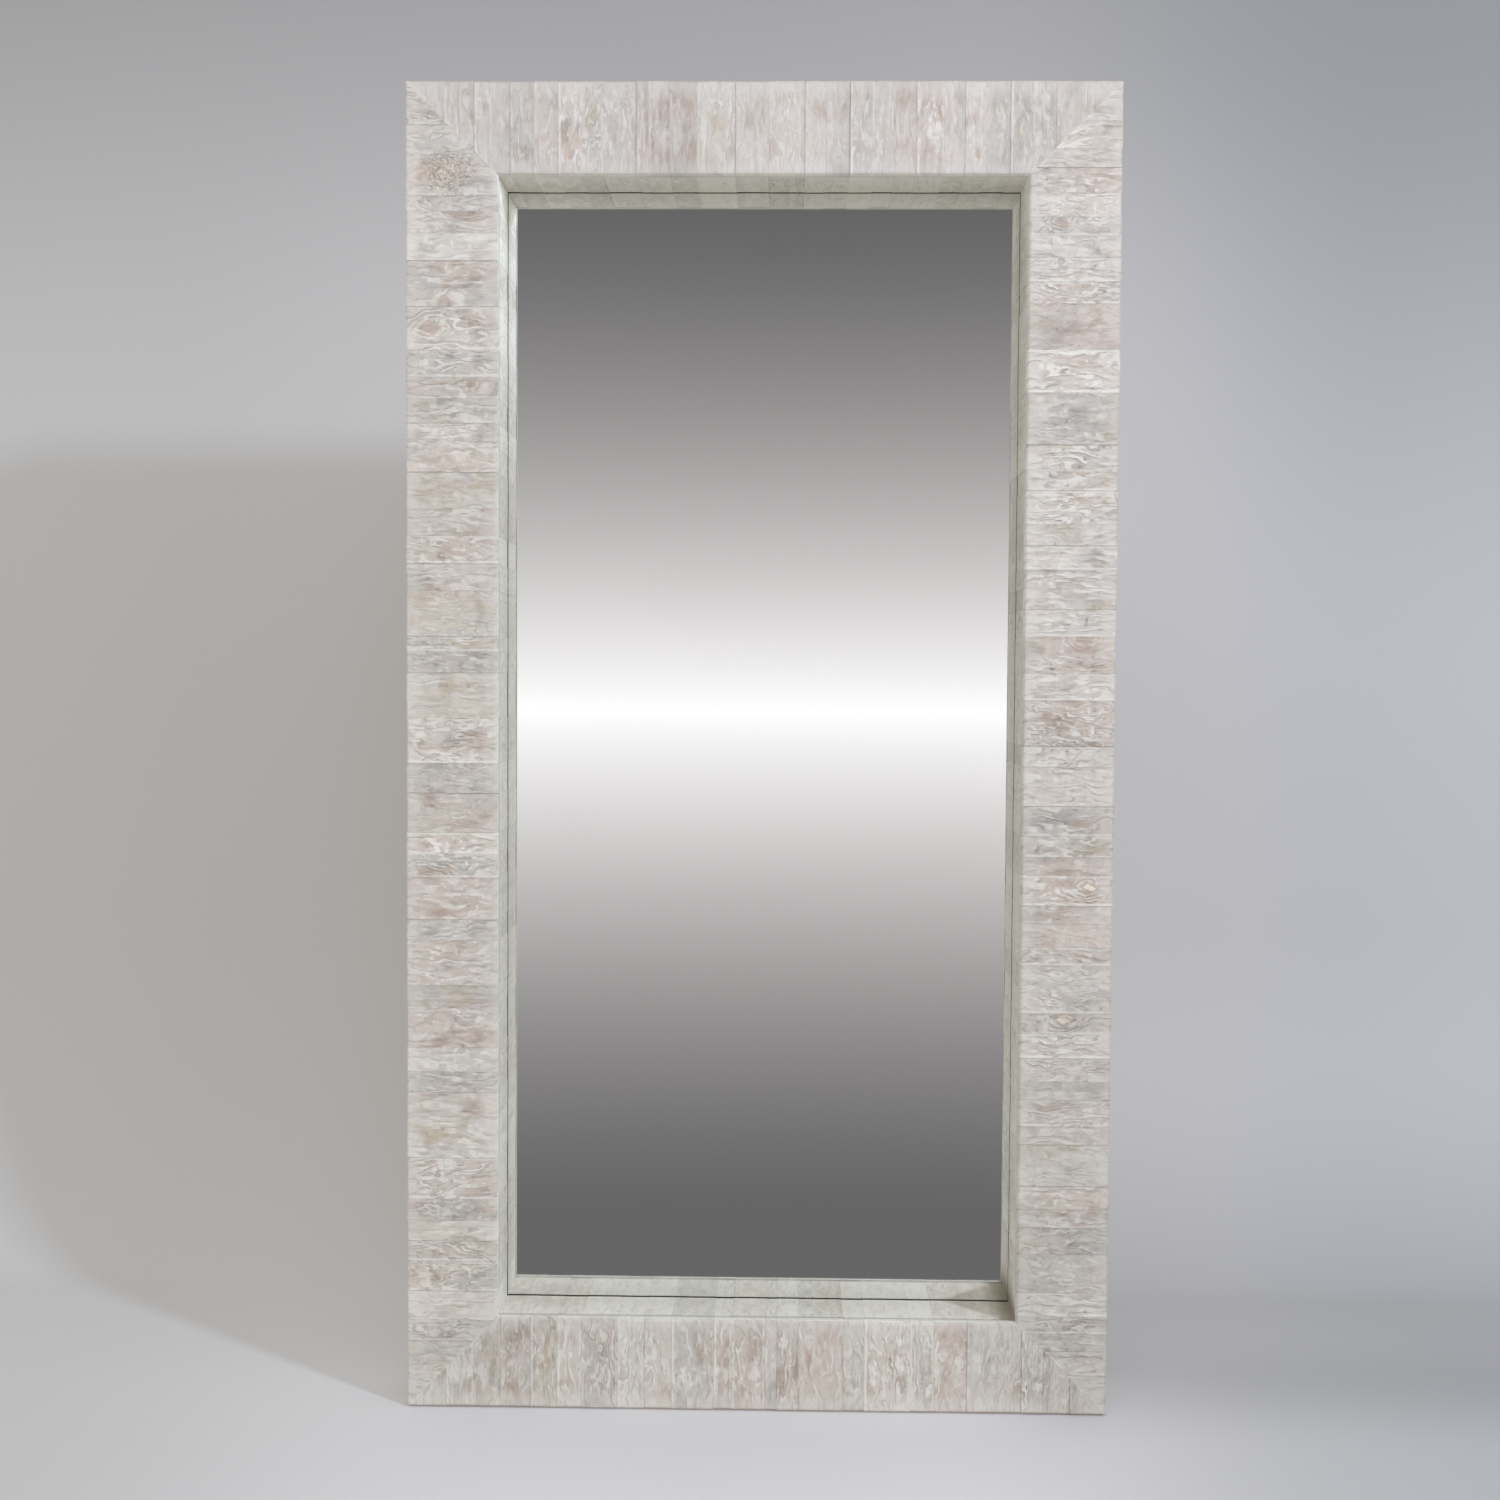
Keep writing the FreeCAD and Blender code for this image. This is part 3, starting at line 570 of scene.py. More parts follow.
def placeStave(blank, low, high, grain, outward, look):
    # a copy of the blank, brought to the box of one stave; most joints are tight
    side = grain.cross(outward)
    span = high - low
    sizes = [abs(span.dot(axis)) for axis in (side, grain, outward)]
    sunk = chance.uniform(0, look["step"])
    shorter = chance.uniform(0, look["uneven"])
    middle = (low + high) / 2 + outward * (sizes[2] / 2 - sunk) + grain * shorter / 2
    sizes[2] -= sunk
    sizes[1] -= shorter
    opening = chance.uniform(*look["openJoint"]) if chance.random() < look["openShare"] else 0
    sizes[0] += jointGap - opening
    middle = middle - side * opening / 2
    points = pointsOf(blank.data) * (np.array(sizes) / np.array(blank["size"][:]))
    if look["lip"]:
        fromLip = np.clip(look["lip"] - sizes[1] / 2 + points[:, 1], 0, look["lip"])
        onFace = points[:, 2] > -close
        points[onFace, 2] -= (look["lip"] - (look["lip"] ** 2 - fromLip ** 2) ** 0.5)[onFace]
    axes = np.array([side, grain, outward])
    stave = bpy.data.objects.new("stave", blank.data.copy())
    bpy.context.scene.collection.objects.link(stave)
    setPoints(stave.data, points @ axes + np.array(middle))
    dressStave(stave.data, points, sizes, look, placedKnot(sizes, middle, axes, look))
    return stave


def placedKnot(sizes, middle, axes, look):
    for across, up, radius, heart in knots["placed"] if look["knotShare"] else ():
        spot = axes @ (np.array((across, middle.y, up)) - np.array(middle))
        if abs(spot[0]) < sizes[0] / 2 and abs(spot[1]) < sizes[1] / 2:
            return spot[:2], radius, heart
    return None


def dressStave(mesh, points, sizes, look, placed):
    # the grain's own coordinates, where each point lies on its stave, the stave's tone and its knot
    corners = readAll(mesh.loops, "vertex_index", 1, np.int32)[:, 0]
    flow = np.column_stack([points[:, 1] - points[:, 2], points[:, 0] - points[:, 2]])
    slope = math.radians(chance.gauss(0, look["slope"]))
    flow = flow @ np.array([[math.cos(slope), math.sin(slope)], [-math.sin(slope), math.cos(slope)]])
    flow += (chance.uniform(*look["patternPlace"]), chance.uniform(*look["patternPlace"]))
    spacing = chance.uniform(*look["ringSpacing"])
    stretch = chance.uniform(*look["ringStretch"])
    ringsAcross = flow[:, 1] * ringUnit / spacing
    ringsAlong = flow[:, 0] * ringUnit / spacing / stretch
    tilt = chance.uniform(-look["ringTilt"], look["ringTilt"])
    rings = np.column_stack([ringsAlong, ringsAcross - (1 - tilt) * ringsAlong]) / 2
    for name, spots in (("grain", flow), ("relief", rings)):
        mesh.uv_layers.new(name=name).data.foreach_set("uv", spots[corners].astype(np.float32).ravel())
    lie = np.column_stack([points[:, 1] / sizes[1] + 0.5, np.zeros(len(points)),
                           sizes[0] / 2 - abs(points[:, 0])])
    wild = chance.random() if chance.random() < look["wildShare"] else 0
    tone = np.tile([chance.gauss(0, 1), chance.random(), chance.random()], len(points))
    radius = chance.uniform(*knots["radius"])
    centre = np.array([chance.uniform(-share, share) * size for share, size in zip(knots["spread"], sizes)])
    if chance.random() > look["knotShare"]:
        centre += 1  # a metre off the stave, so it shows no knot
    heart = 0
    if placed:
        centre, radius, heart = placed
    fromCentre = (points[:, :2] - centre) / (radius, radius * knots["stretch"])
    knot = np.column_stack([fromCentre, np.full(len(points), heart)])
    for name, values in (("lie", lie), ("tone", tone), ("knot", knot)):
        mesh.attributes.new(name, "FLOAT_VECTOR", "POINT").data.foreach_set("vector", values.ravel())
    mesh.attributes.new("wild", "FLOAT", "POINT").data.foreach_set("value", np.full(len(points), wild))


def trimInnerEnd(low, high, side):
    axis = 0 if inwards[side].x else 2
    if sum(inwards[side]) > 0:
        high[axis] = min(high[axis], innerEdge[side])
    else:
        low[axis] = max(low[axis], innerEdge[side])


def modelStaves(nodeName, newName, side, grain, outward, look, blanks, length):
    staves = []
    for low, high in staveBoxes(nodeName):
        if abs((high - low).dot(grain)) < length - mitredBy and grain.dot(forwards) == 0:
            # cut by a mitre, so the blank runs on and the mitre cuts it again
            start = low if sum(grain) > 0 else high
            full = start + grain * length
            for axis in range(3):
                if grain[axis]:
                    low[axis], high[axis] = sorted((start[axis], full[axis]))
        if outward == forwards:
            trimInnerEnd(low, high, side)
        width = abs((high - low).dot(grain.cross(outward)))
        blank = min(blanks, key=lambda b: abs(b["size"][0] - width))
        staves.append(placeStave(blank, low, high, grain, outward, look))
    onlySelect(*staves)
    bpy.ops.object.join()
    piece = bpy.context.object
    piece.name = newName
    return piece


def mitrePlanes(side):
    # a point and the outward normal of the mitre at each end of a side
    inward = inwards[side]
    for neighbour in (("bottom", "top") if inward.x else ("left", "right")):
        towards = inwards[neighbour]
        corner = Vector((frameEdge[side] if inward.x else frameEdge[neighbour], 0,
                         frameEdge[neighbour] if inward.x else frameEdge[side]))
        yield corner + towards * mitreGap, (inward - towards).normalized()


def mitre(piece, side):
    for corner, normal in mitrePlanes(side):
        onlySelect(piece)
        editAll()
        bpy.ops.mesh.bisect(plane_co=corner, plane_no=normal, use_fill=True, clear_outer=True)
        objectMode()


def addGroup(piece, name, weights):
    group = piece.vertex_groups.new(name=name)
    levels = np.round(weights, 1)
    for level in np.unique(levels[levels > 0]):
        group.add(np.flatnonzero(levels == level).tolist(), float(level), "REPLACE")


def brushStaves(piece, side, outward, look):
    # sinks the soft wood between the rings, as a wire brush does
    mesh = piece.data
    before = pointsOf(mesh)
    lie = readAll(mesh.attributes["lie"].data, "vector", 3)
    wild = readAll(mesh.attributes["wild"].data, "value", 1)[:, 0]
    deep = before @ np.array(outward)
    fromEnd = np.minimum(lie[:, 0], 1 - lie[:, 0])
    fromMitre = np.min([(np.array(corner) - before) @ np.array(normal)
                        for corner, normal in mitrePlanes(side)], axis=0)
    weight = np.clip(1 - (deep.max() - deep) / brush["depth"], 0, 1)
    weight = weight * np.clip(brush["atEnds"] + fromEnd * brush["fromEnds"], 0, 1)
    weight = weight * np.clip(brush["atRims"] + np.minimum(lie[:, 2], fromMitre) / brush["rimWidth"], 0, 1)
    if side == "top":
        weight *= look["topRelief"]
    addGroup(piece, "calm", weight * (1 - wild))
    addGroup(piece, "wild", weight * wild)
    addGroup(piece, "brushed", weight)
    steps = (
        ("WOOD", brush["calmRings"], look["ringDepth"], "calm"),
        ("WOOD", brush["wildRings"], look["ringDepth"], "wild"),
        ("CLOUDS", brush["hollows"], look["hollowDepth"], "brushed"),
        ("CLOUDS", brush["fibres"], look["fibreDepth"], "brushed"),
    )
    axis = "XYZ"[[abs(part) for part in outward].index(1)]
    for kind, settings, depth, group in steps:
        texture = bpy.data.textures.new(group, kind)
        for name, value in settings.items():
            setattr(texture, name, value)
        applyModifier(piece, "DISPLACE", texture=texture, texture_coords="UV", uv_layer="relief",
                      direction=axis, strength=depth * sum(outward), mid_level=1, vertex_group=group)
    mesh.uv_layers.remove(mesh.uv_layers["relief"])
    lie[:, 1] = fromMitre
    mesh.attributes["lie"].data.foreach_set("vector", lie.ravel())
    piece.vertex_groups.clear()


def finishPiece(piece, material, slot, *replaced, body="frame"):
    piece.data.materials.clear()
    piece.data.materials.append(material)
    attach(piece, body)
    if replaced:
        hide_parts(*replaced)


def buildStaves():
    runs = {"left": ("bottom", "lower", "upper", "top"), "top": ("left", "right"),
            "right": ("top", "upper", "lower", "bottom"), "bottom": ("right", "left")}
    faceWood = whitewashedWood("whitewashedFace", faceLook)
    sideWoods = {"top": whitewashedWood("whitewashedTop", topLook),
                 "bottom": whitewashedWood("whitewashedBottom", bottomLook)}
    edgeWood = whitewashedWood("whitewashedEdge", edgeLook)
    revealWood = whitewashedWood("whitewashedReveal", revealLook)
    rows = []
    for side, names in runs.items():
        for run in names:
            rows.append((f"{side}_face_staves_{run}", side, inwards[side], forwards, faceStaves,
                         sideWoods.get(side, faceWood)))
        rows.append((f"{side}_edge_staves", side, -forwards, -inwards[side], edgeStaves, edgeWood))
        rows.append((f"{side}_reveal_staves", side, -forwards, inwards[side], revealStaves, revealWood))
    blankSets = {}
    for nodeName, side, grain, outward, look, wood in rows:
        low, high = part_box(nodeName)
        if look["slot"] not in blankSets:
            length = abs((high - low).dot(grain))
            blankSets[look["slot"]] = (length, [modelBlank(width, length, look["blankThickness"], look)
                                                for width in look["blankWidths"]])
        length, blanks = blankSets[look["slot"]]
        words = nodeName.split("_")
        newName = words[0] + "".join(word.capitalize() for word in words[1:])
        piece = modelStaves(nodeName, newName, side, grain, outward, look, blanks, length)
        mitre(piece, side)
        brushStaves(piece, side, outward, look)
        onlySelect(piece)
        bpy.ops.object.shade_smooth_by_angle(angle=smoothAngle)
        finishPiece(piece, wood, look["slot"], nodeName)
        print("staves:", newName, len(piece.data.polygons), "faces")
    for length, blanks in blankSets.values():
        for blank in blanks:
            bpy.data.objects.remove(blank)


# whitewashed wood

faceLook = {
    "chalk": (0.752, 0.722, 0.720, 1),
    "white": (0.665, 0.623, 0.617, 1),
    "tan": (0.470, 0.378, 0.345, 1),
    "grey": (0.410, 0.380, 0.378, 1),
    "straw": (0.520, 0.438, 0.360, 1),
    "cover": 0.60,
    "toneStep": 0.03,
    "stain": 0.10,  # broad darker zones
    "strokes": 0.54,
    "speckle": 0.45,
    "rubbed": 0.48,
    "ends": 0.22,
    "dark": 0.15,
    "fine": 0.08,
    "worn": 0.5,
    "joints": 0.9,
    "cracks": 0.09,
    "veil": 0.22,  # the whiter haze along the mitres
    "gnarl": 0.6,
    "bump": 0.0006,
    "calmSway": 4.5,
    "wildSway": 9,
    "rings": (42, 54),  # per metre: the fewest, and how many more the finest stave has
    "paintedEnds": 0.75,
    "burr": 0.8,
    "upperLeft": 0.045,  # painted shade on the staves there, where the beam is bright
    "lipShade": 0.16,  # the same on their rounded ends
    "mitreWash": 0.07,  # painted light that makes up for the shade in the mitres
    "corners": 0.07,  # painted shade on the staves near a mitre
    # darker towards the lower right; on the reveal a negative share, painted light that lifts its shade
    # there
    "lowerRight": 0.08,
    "grime": 0,  # painted shade in the reveal, yellowish and darker towards the glass
    "frontLine": 0,  # a painted shade line on the reveal behind the inner ends of the face, at the left and the bottom
    "cornerStain": 0,  # a brown stain and painted shade in the lower right inner corner
    "stainReach": 0.042,
}
bottomLook = dict(faceLook, strokes=0.48, speckle=0.38, dark=0.11)
plainLook = dict(faceLook, lowerRight=0, burr=0, upperLeft=0, lipShade=0)
# the top rail's staves, with darker chalk and white: painted shade against the brighter light that falls on
# the top rail
topLook = dict(plainLook, chalk=(0.680, 0.652, 0.662, 1), white=(0.603, 0.567, 0.572, 1),
               strokes=0.36, dark=0.08, speckle=0.3, fine=0.05, cracks=0.06, bump=0.0003)
edgeLook = dict(plainLook, paintedEnds=0, mitreWash=0, corners=0)
revealLook = dict(edgeLook, chalk=(0.940, 0.928, 0.900, 1), white=(0.902, 0.878, 0.835, 1),
                  cover=0.85, toneStep=0.028, stain=0.03, strokes=0.15, speckle=0.15, rubbed=0.15,
                  ends=0.05, dark=0.08, fine=0.04, worn=0.3, joints=0.2, cracks=0.06, gnarl=0,
                  bump=0.0002, grime=0.35, frontLine=0.35, cornerStain=0.75, veil=0, lowerRight=-0.09)
washPatterns = {  # marks in a metre along and across the grain, then detail, roughness, distortion
    "drift": ((11, 30, 1), 3, 0.55),
    "broken": ((32, 70, 1), 3, 0.6),
    "streaks": ((32, 120, 1), 2, 0.5),
    "speckle": ((80, 165, 1), 2, 0.5),
    "fibres": ((55, 650, 1), 3, 0.65),
    "clouds": ((6, 10, 1), 2, 0.5),
    "patches": ((16, 30, 1), 3, 0.55, 0.4),
    "mottle": ((42, 70, 1), 3, 0.6),
    "gnarl": ((8, 14, 1), 1),
}
accents = {
    "paleHeart": (0.800, 0.720, 0.630, 1),
    "paint": (0.850, 0.850, 0.800, 1),  # on the inner ends
    # the yellowish tint of the painted shade in the reveal
    "grime": (0.84, 0.86, 0.76, 1),
    # the brown of the stain and painted shade in the reveal's lower right corner
    "stain": (0.270, 0.225, 0.150, 1),
}
burr = {  # a rough patch near the upper left corner
    "middle": (-0.449, 1.779),
    "radii": (0.060, 0.042),
    "ragged": 1.6,
    "grains": ((330, 330, 330), 1, 0.5),
    "brown": (0.500, 0.415, 0.350, 1),
    "brownShare": 0.42,
    "cream": (0.800, 0.745, 0.680, 1),
    "creamShare": 0.6,
    "pits": 0.30,
}
paintedRecessShadeDepth = (-0.045, 0.037)  # from the front of the reveal to the glass
lowerRightZone = (("right", 0.2, 0.42), ("height", 1.25, 0.55))
upperLeftZone = (("right", -0.1, -0.3), ("height", 1.3, 1.65))
lipZone = (0.955, 0.985)  # along a stave, from its outer end
cornerZone = (0.10, 0.03)  # from the mitre


def burrMasks(graph, place, patches):
    # the whole patch, its pale grains and its small pits
    across = (graph.part(place, 0) - burr["middle"][0]) / burr["radii"][0]
    up = (graph.part(place, 2) - burr["middle"][1]) / burr["radii"][1]
    fromMiddle = (across * across + up * up) ** 0.5 + (patches - 0.5) * burr["ragged"]
    rough = graph.ramp(fromMiddle, 1.0, 0.45)
    grains = graph.pattern(place, *burr["grains"])
    return rough, rough * graph.ramp(grains, 0.56, 0.64), rough * graph.ramp(grains, 0.44, 0.36)


def whitewashedWood(name, look):
    material, graph, place = newMaterial(name)
    grain = graph.add("ShaderNodeUVMap", {"uv_map": "grain"})
    wild = graph.attribute("wild", 2)
    along, fromMitre, fromRim = graph.parts(graph.attribute("lie"))
    shade, hue, wash = graph.parts(graph.attribute("tone"))
    lively = (hue * 13.7 + wash * 5.3).math("FRACT")
    gaping = (hue * 7.1 + wash * 23.9).math("FRACT")
    besideKnot, alongKnot, heart = graph.parts(graph.attribute("knot"))
    fromKnot = (besideKnot ** 2 + alongKnot ** 2) ** 0.5
    nearKnot = graph.ramp(fromKnot, 2.6, 0.6)

    # growth rings, which a slow drift bends into loops on the wild staves
    drift = graph.pattern(grain, *washPatterns["drift"])
    fewest, more = look["rings"]
    phase = (graph.part(grain, 1) * (fewest + wash * more)
             + drift * (look["calmSway"] + wild * look["wildSway"]) + nearKnot * 2.5) * (2 * math.pi)
    crest = phase.math("SINE")
    trough = (phase + 2.3).math("SINE")

    # finer marks that follow the same bends
    flow = graph.moved(grain, graph.vector(0, (drift - 0.5) * 0.05, 0))
    broken = graph.pattern(flow, *washPatterns["broken"])
    streaks = graph.pattern(flow, *washPatterns["streaks"])
    speckle = graph.pattern(flow, *washPatterns["speckle"])
    fibres = graph.pattern(flow, *washPatterns["fibres"])
    clouds = graph.pattern(grain, *washPatterns["clouds"])
    patches = graph.pattern(grain, *washPatterns["patches"])
    mottle = graph.pattern(grain, *washPatterns["mottle"])
    gnarl = graph.ramp(graph.pattern(grain, *washPatterns["gnarl"]), 0.60, 0.68) * look["gnarl"]

    # how thick the wash lies
    fromEnd = along.math("MINIMUM", 1 - along)
    ends = graph.ramp(fromEnd, 0.24, 0.03)
    middle = 1 - ends * 0.7
    rubbed = graph.ramp(patches, 0.50, 0.68) * middle
    whiteRings = graph.ramp(crest, 0.25, 0.80) * graph.ramp(broken, 0.47, 0.60)
    darkRings = graph.ramp(trough, 0.50, 0.90) * graph.ramp(broken, 0.42, 0.52)
    whiteStreaks = graph.ramp(streaks, 0.55, 0.64)
    specks = graph.ramp(speckle, 0.58, 0.66) * graph.ramp(patches, 0.55, 0.42)
    strokes = whiteRings.math("MAXIMUM", (whiteStreaks * 0.75).math("MAXIMUM", specks * 0.85))
    strokes = strokes * middle * (0.35 + lively * 0.95 + gnarl)
    filled = graph.ramp(lively, 0.60, 0.65) * graph.ramp(mottle + patches, 0.85, 1.05) * look["joints"]
    strokes = strokes.math("MAXIMUM", graph.ramp(fromRim, 0.0048, 0.0018) * filled)
    veil = graph.ramp(fromMitre, 0.045, 0.002) * look["veil"]
    strokes = strokes * (1 - veil)
    cover = (look["cover"] + (wash - 0.5) * 0.34 + nearKnot * 0.1 + strokes * look["strokes"] + veil
             + (speckle - 0.5) * look["speckle"] + ends * look["ends"] - rubbed * look["rubbed"]
             + (mottle - 0.5) * 0.7)
    cover = graph.add("ShaderNodeClamp", {}, cover, 0.03, 1)

    # the wood under it, and the wash over it
    warmth = hue * 0.7 + (clouds - 0.5) * 1.6 + (mottle - 0.5) * 0.5
    bare = graph.mix(graph.ramp(warmth, 0.25, 0.55), look["tan"], look["grey"])
    bare = graph.mix(graph.ramp(warmth + (patches - 0.5) * 0.6, 0.60, 0.85), bare, look["straw"])
    colour = graph.mix(cover, bare, look["white"])
    colour = graph.mix(strokes * look["strokes"], colour, look["chalk"])

    # worn outer ends, knots and painted inner ends
    wear = graph.ramp(along, 0.022, 0.004) * graph.ramp(mottle, 0.35, 0.55) * look["worn"]
    fromKnot = fromKnot + (speckle - 0.5) * 1.6 + (broken - 0.5) * 1.4
    wear = wear.math("MAXIMUM", graph.ramp(fromKnot, 1.15, 0.55) * 0.75)
    colour = graph.mix(wear, colour, look["tan"])
    paleHeart = graph.ramp(fromKnot, 0.55, 0.35) * heart
    colour = graph.mix(paleHeart * 0.9, colour, accents["paleHeart"])
    painted = graph.ramp(along, 0.990, 0.996) * look["paintedEnds"]
    colour = graph.mix(painted, colour, accents["paint"])

    # painted shade in the reveal, a stain with painted shade in its corner, and the burr
    right, deep, height = graph.parts(place)
    measures = {"right": right, "height": height}
    dim = graph.inside(measures, lowerRightZone)
    grime = graph.ramp(deep, *paintedRecessShadeDepth) * look["grime"] * (1 - dim * 0.8)
    colour = graph.mix(grime, colour, graph.mix(1, colour, accents["grime"], "MULTIPLY"))
    beside, above = right - innerEdge["right"], height - innerEdge["bottom"]
    fromCorner = (beside * beside + above * above) ** 0.5 + (mottle - 0.5) * 0.01
    stain = graph.ramp(fromCorner, look["stainReach"], 0.004) * look["cornerStain"]
    colour = graph.mix(stain, colour, accents["stain"])
    rough, specked, pitted = (mask * look["burr"] for mask in burrMasks(graph, place, patches))
    colour = graph.mix(rough * burr["brownShare"], colour, burr["brown"])
    colour = graph.mix(specked * burr["creamShare"], colour, burr["cream"])

    # pores, pits, cracks, stains, and painted shade and light
    pores = graph.ramp(fibres, 0.47, 0.32) * (1 - strokes * 0.8) * middle
    pits = graph.ramp(speckle, 0.40, 0.30) * middle
    marks = pits * (1 + gnarl * 2) + darkRings * (1 - strokes) * (0.4 + lively) + gnarl * 0.3
    cracksAndShadeLine = graph.ramp(fromRim, 0.0019, 0.0004) * graph.ramp(broken + gaping * 0.3, 0.45, 0.75)
    cracksAndShadeLine = cracksAndShadeLine * look["cracks"]
    stainsAndPaintedShading = graph.ramp(clouds + (patches - 0.5) * 0.5, 0.50, 0.68) * look["stain"]
    # where the reveal meets the face at the left and the bottom, a painted shade line behind the inner ends
    # of the face
    atEdge = graph.ramp(right - innerEdge["left"], 0.004, 0.002)
    atEdge = atEdge.math("MAXIMUM", graph.ramp(above, 0.004, 0.002))
    cracksAndShadeLine = cracksAndShadeLine + atEdge * graph.ramp(along, 0.10, 0.04) * look["frontLine"]
    # painted shade on the upper left staves and their rounded ends, where the beam is bright
    lit = graph.ramp(along, *lipZone) * look["lipShade"] + look["upperLeft"]
    lit = graph.inside(measures, upperLeftZone) * lit
    # painted shade near the mitres
    nearMitre = graph.ramp(fromMitre, *cornerZone) * look["corners"]
    # darker towards the lower right of the face; on the reveal, painted light there
    stainsAndPaintedShading = stainsAndPaintedShading + dim * look["lowerRight"] + lit + nearMitre
    level = 1 + shade * look["toneStep"] - stainsAndPaintedShading - pores * look["fine"] - marks * look["dark"] - cracksAndShadeLine
    # painted light in the mitres, against their shade
    level = level - pitted * burr["pits"] + graph.ramp(fromMitre, 0.0034, 0.0012) * look["mitreWash"]
    colour = graph.dimmed(colour, level)

    relief = fibres * 0.25 + speckle * 0.6 + strokes * 0.6 - darkRings * 0.4 + specked - pitted
    graph.principled(basecolor=colour, roughness=0.62 + cover * 0.22,
                     normal=graph.bump(relief, look["bump"]))
    return material


# the mirror itself

pane = {
    "arris": 0.0006,
    "recess": 0.0002,
    "glass": (0.985, 0.99, 0.985, 1),
    "silver": (0.95, 0.95, 0.95, 1),
    "silverHaze": (0.94, 0.94, 0.94, 1),
    "edge": (0.10, 0.10, 0.09, 1),  # painted shade: the silver is dark near the pane's edge, a dark line where the reveal meets the glass
    "line": {"left": 0.0006, "right": 0, "top": 0.0005, "bottom": 0.0006},  # how far it comes inwards
}


def glassMaterial():
    material, graph, place = newMaterial("clearGlass")
    smudge = graph.pattern(place, (3, 3, 3), 3)
    graph.principled(basecolor=pane["glass"], roughness=graph.ramp(smudge, 0.3, 0.8, 0, 0.004), ior=1.52,
                     transmissionweight=1.0)
    return material


def silverMaterial():
    material, graph, place = newMaterial("silvering")
    haze = graph.pattern(place, (5, 5, 5), 3)
    across, upwards = graph.part(place, 0), graph.part(place, 2)
    line = pane["line"]
    beyond = [innerEdge["left"] + line["left"] - across, across - innerEdge["right"] + line["right"],
              innerEdge["bottom"] + line["bottom"] - upwards, upwards - innerEdge["top"] + line["top"]]
    beside = beyond[0].math("MAXIMUM", beyond[1])
    above = beyond[2].math("MAXIMUM", beyond[3])
    # painted shade: a dark line along the edges of the silver
    edge = graph.ramp(beside.math("MAXIMUM", above), 0.0002, 0.0008)
    silver = graph.mix(haze, pane["silver"], pane["silverHaze"])
    graph.principled(basecolor=graph.mix(edge, silver, pane["edge"]), metallic=1.0,
                     roughness=graph.ramp(haze, 0.2, 0.8, 0.004, 0.01))
    return material


def buildMirror():
    piece = mergedCopy("mirror_glass", "mirrorPane")
    points = pointsOf(piece.data)
    middle = points[:, 1].mean()
    points[:, 1] += np.where(points[:, 1] < middle, pane["recess"], -pane["recess"])
    setPoints(piece.data, points)
    applyModifier(piece, "BEVEL", width=pane["arris"], segments=1)
    finishPiece(piece, glassMaterial(), "silvered_glass", "mirror_glass")
    piece.data.materials.append(silverMaterial())
    back = max(face.center.y for face in piece.data.polygons)
    for face in piece.data.polygons:
        face.material_index = 1 if face.center.y > back - tiny and face.normal.y > 0.9 else 0


# the boards, the back panel and the hardware

sharpAngle = math.radians(35)  # edges past this are eased


def easedCopy(nodeName, newName, ease):
    piece = mergedCopy(nodeName, newName)
    applyModifier(piece, "BEVEL", width=ease, segments=2, limit_method="ANGLE", angle_limit=sharpAngle)
    onlySelect(piece)
    bpy.ops.object.shade_smooth_by_angle(angle=sharpAngle)
    return piece


board = {
    "ease": 0.0005,
    "plies": 0.0034,  # one pair of plies
    "veneer": (0.0012, 0.0008),  # how deep the outermost ply reaches
    "pale": (0.640, 0.500, 0.345, 1),
    "deep": (0.520, 0.375, 0.235, 1),
    "crossPly": (0.430, 0.300, 0.185, 1),
}
pineWood = {"pale": (0.690, 0.540, 0.355, 1), "deep": (0.540, 0.375, 0.210, 1), "rings": 180}


def lengthwise(graph, place, upright, along, across):
    # the place with its axis along the grain first, stretched
    right, deep, height = graph.parts(place)
    first, second = (height, right) if upright else (right, height)
    return graph.vector(first * along, second * across, deep * across)


def plywoodMaterial(name, upright):
    material, graph, place = newMaterial(name)
    figure = graph.noise(lengthwise(graph, place, upright, 1.6, 11), 2, 0.45)
    rings = (figure * 60).math("SINE")
    fibres = graph.noise(lengthwise(graph, place, upright, 14, 700), 3, 0.6)
    mottle = graph.noise(lengthwise(graph, place, upright, 5, 20), 3, 0.6)
    inward = graph.part(place, 1) * (2 * math.pi / board["plies"])
    crossPly = graph.ramp(inward.math("SINE"), -0.3, 0.3)
    shade = graph.ramp(rings, -0.2, 1) * 0.35 + mottle * 0.35 + (fibres - 0.5) * 0.5
    face = graph.mix(shade, board["pale"], board["deep"])
    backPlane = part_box("left_rear_board")[1].y
    outermost = graph.ramp(graph.part(place, 1), *(backPlane - depth for depth in board["veneer"]))
    colour = graph.mix(crossPly * (1 - outermost), face, board["crossPly"])
    normal = graph.bump(fibres + crossPly * (1 - outermost) * 0.5, 0.0002)
    graph.principled(basecolor=colour, roughness=0.6 + mottle * 0.15, normal=normal)
    return material


def pineMaterial(name, upright):
    material, graph, place = newMaterial(name)
    drift = graph.noise(lengthwise(graph, place, upright, 1.2, 18), 2)
    across = graph.part(place, 0 if upright else 2) + graph.part(place, 1) * 0.6
    phase = across * (pineWood["rings"] * 2 * math.pi) + drift * 16
    lateWood = graph.ramp(phase.math("SINE"), 0.1, 0.95)
    fibres = graph.noise(lengthwise(graph, place, upright, 20, 900), 3, 0.6)
    colour = graph.mix(lateWood * 0.7 + (fibres - 0.5) * 0.4, pineWood["pale"], pineWood["deep"])
    graph.principled(basecolor=colour, roughness=0.55 + fibres * 0.2,
                     normal=graph.bump(fibres + lateWood * 0.3, 0.0002))
    return material


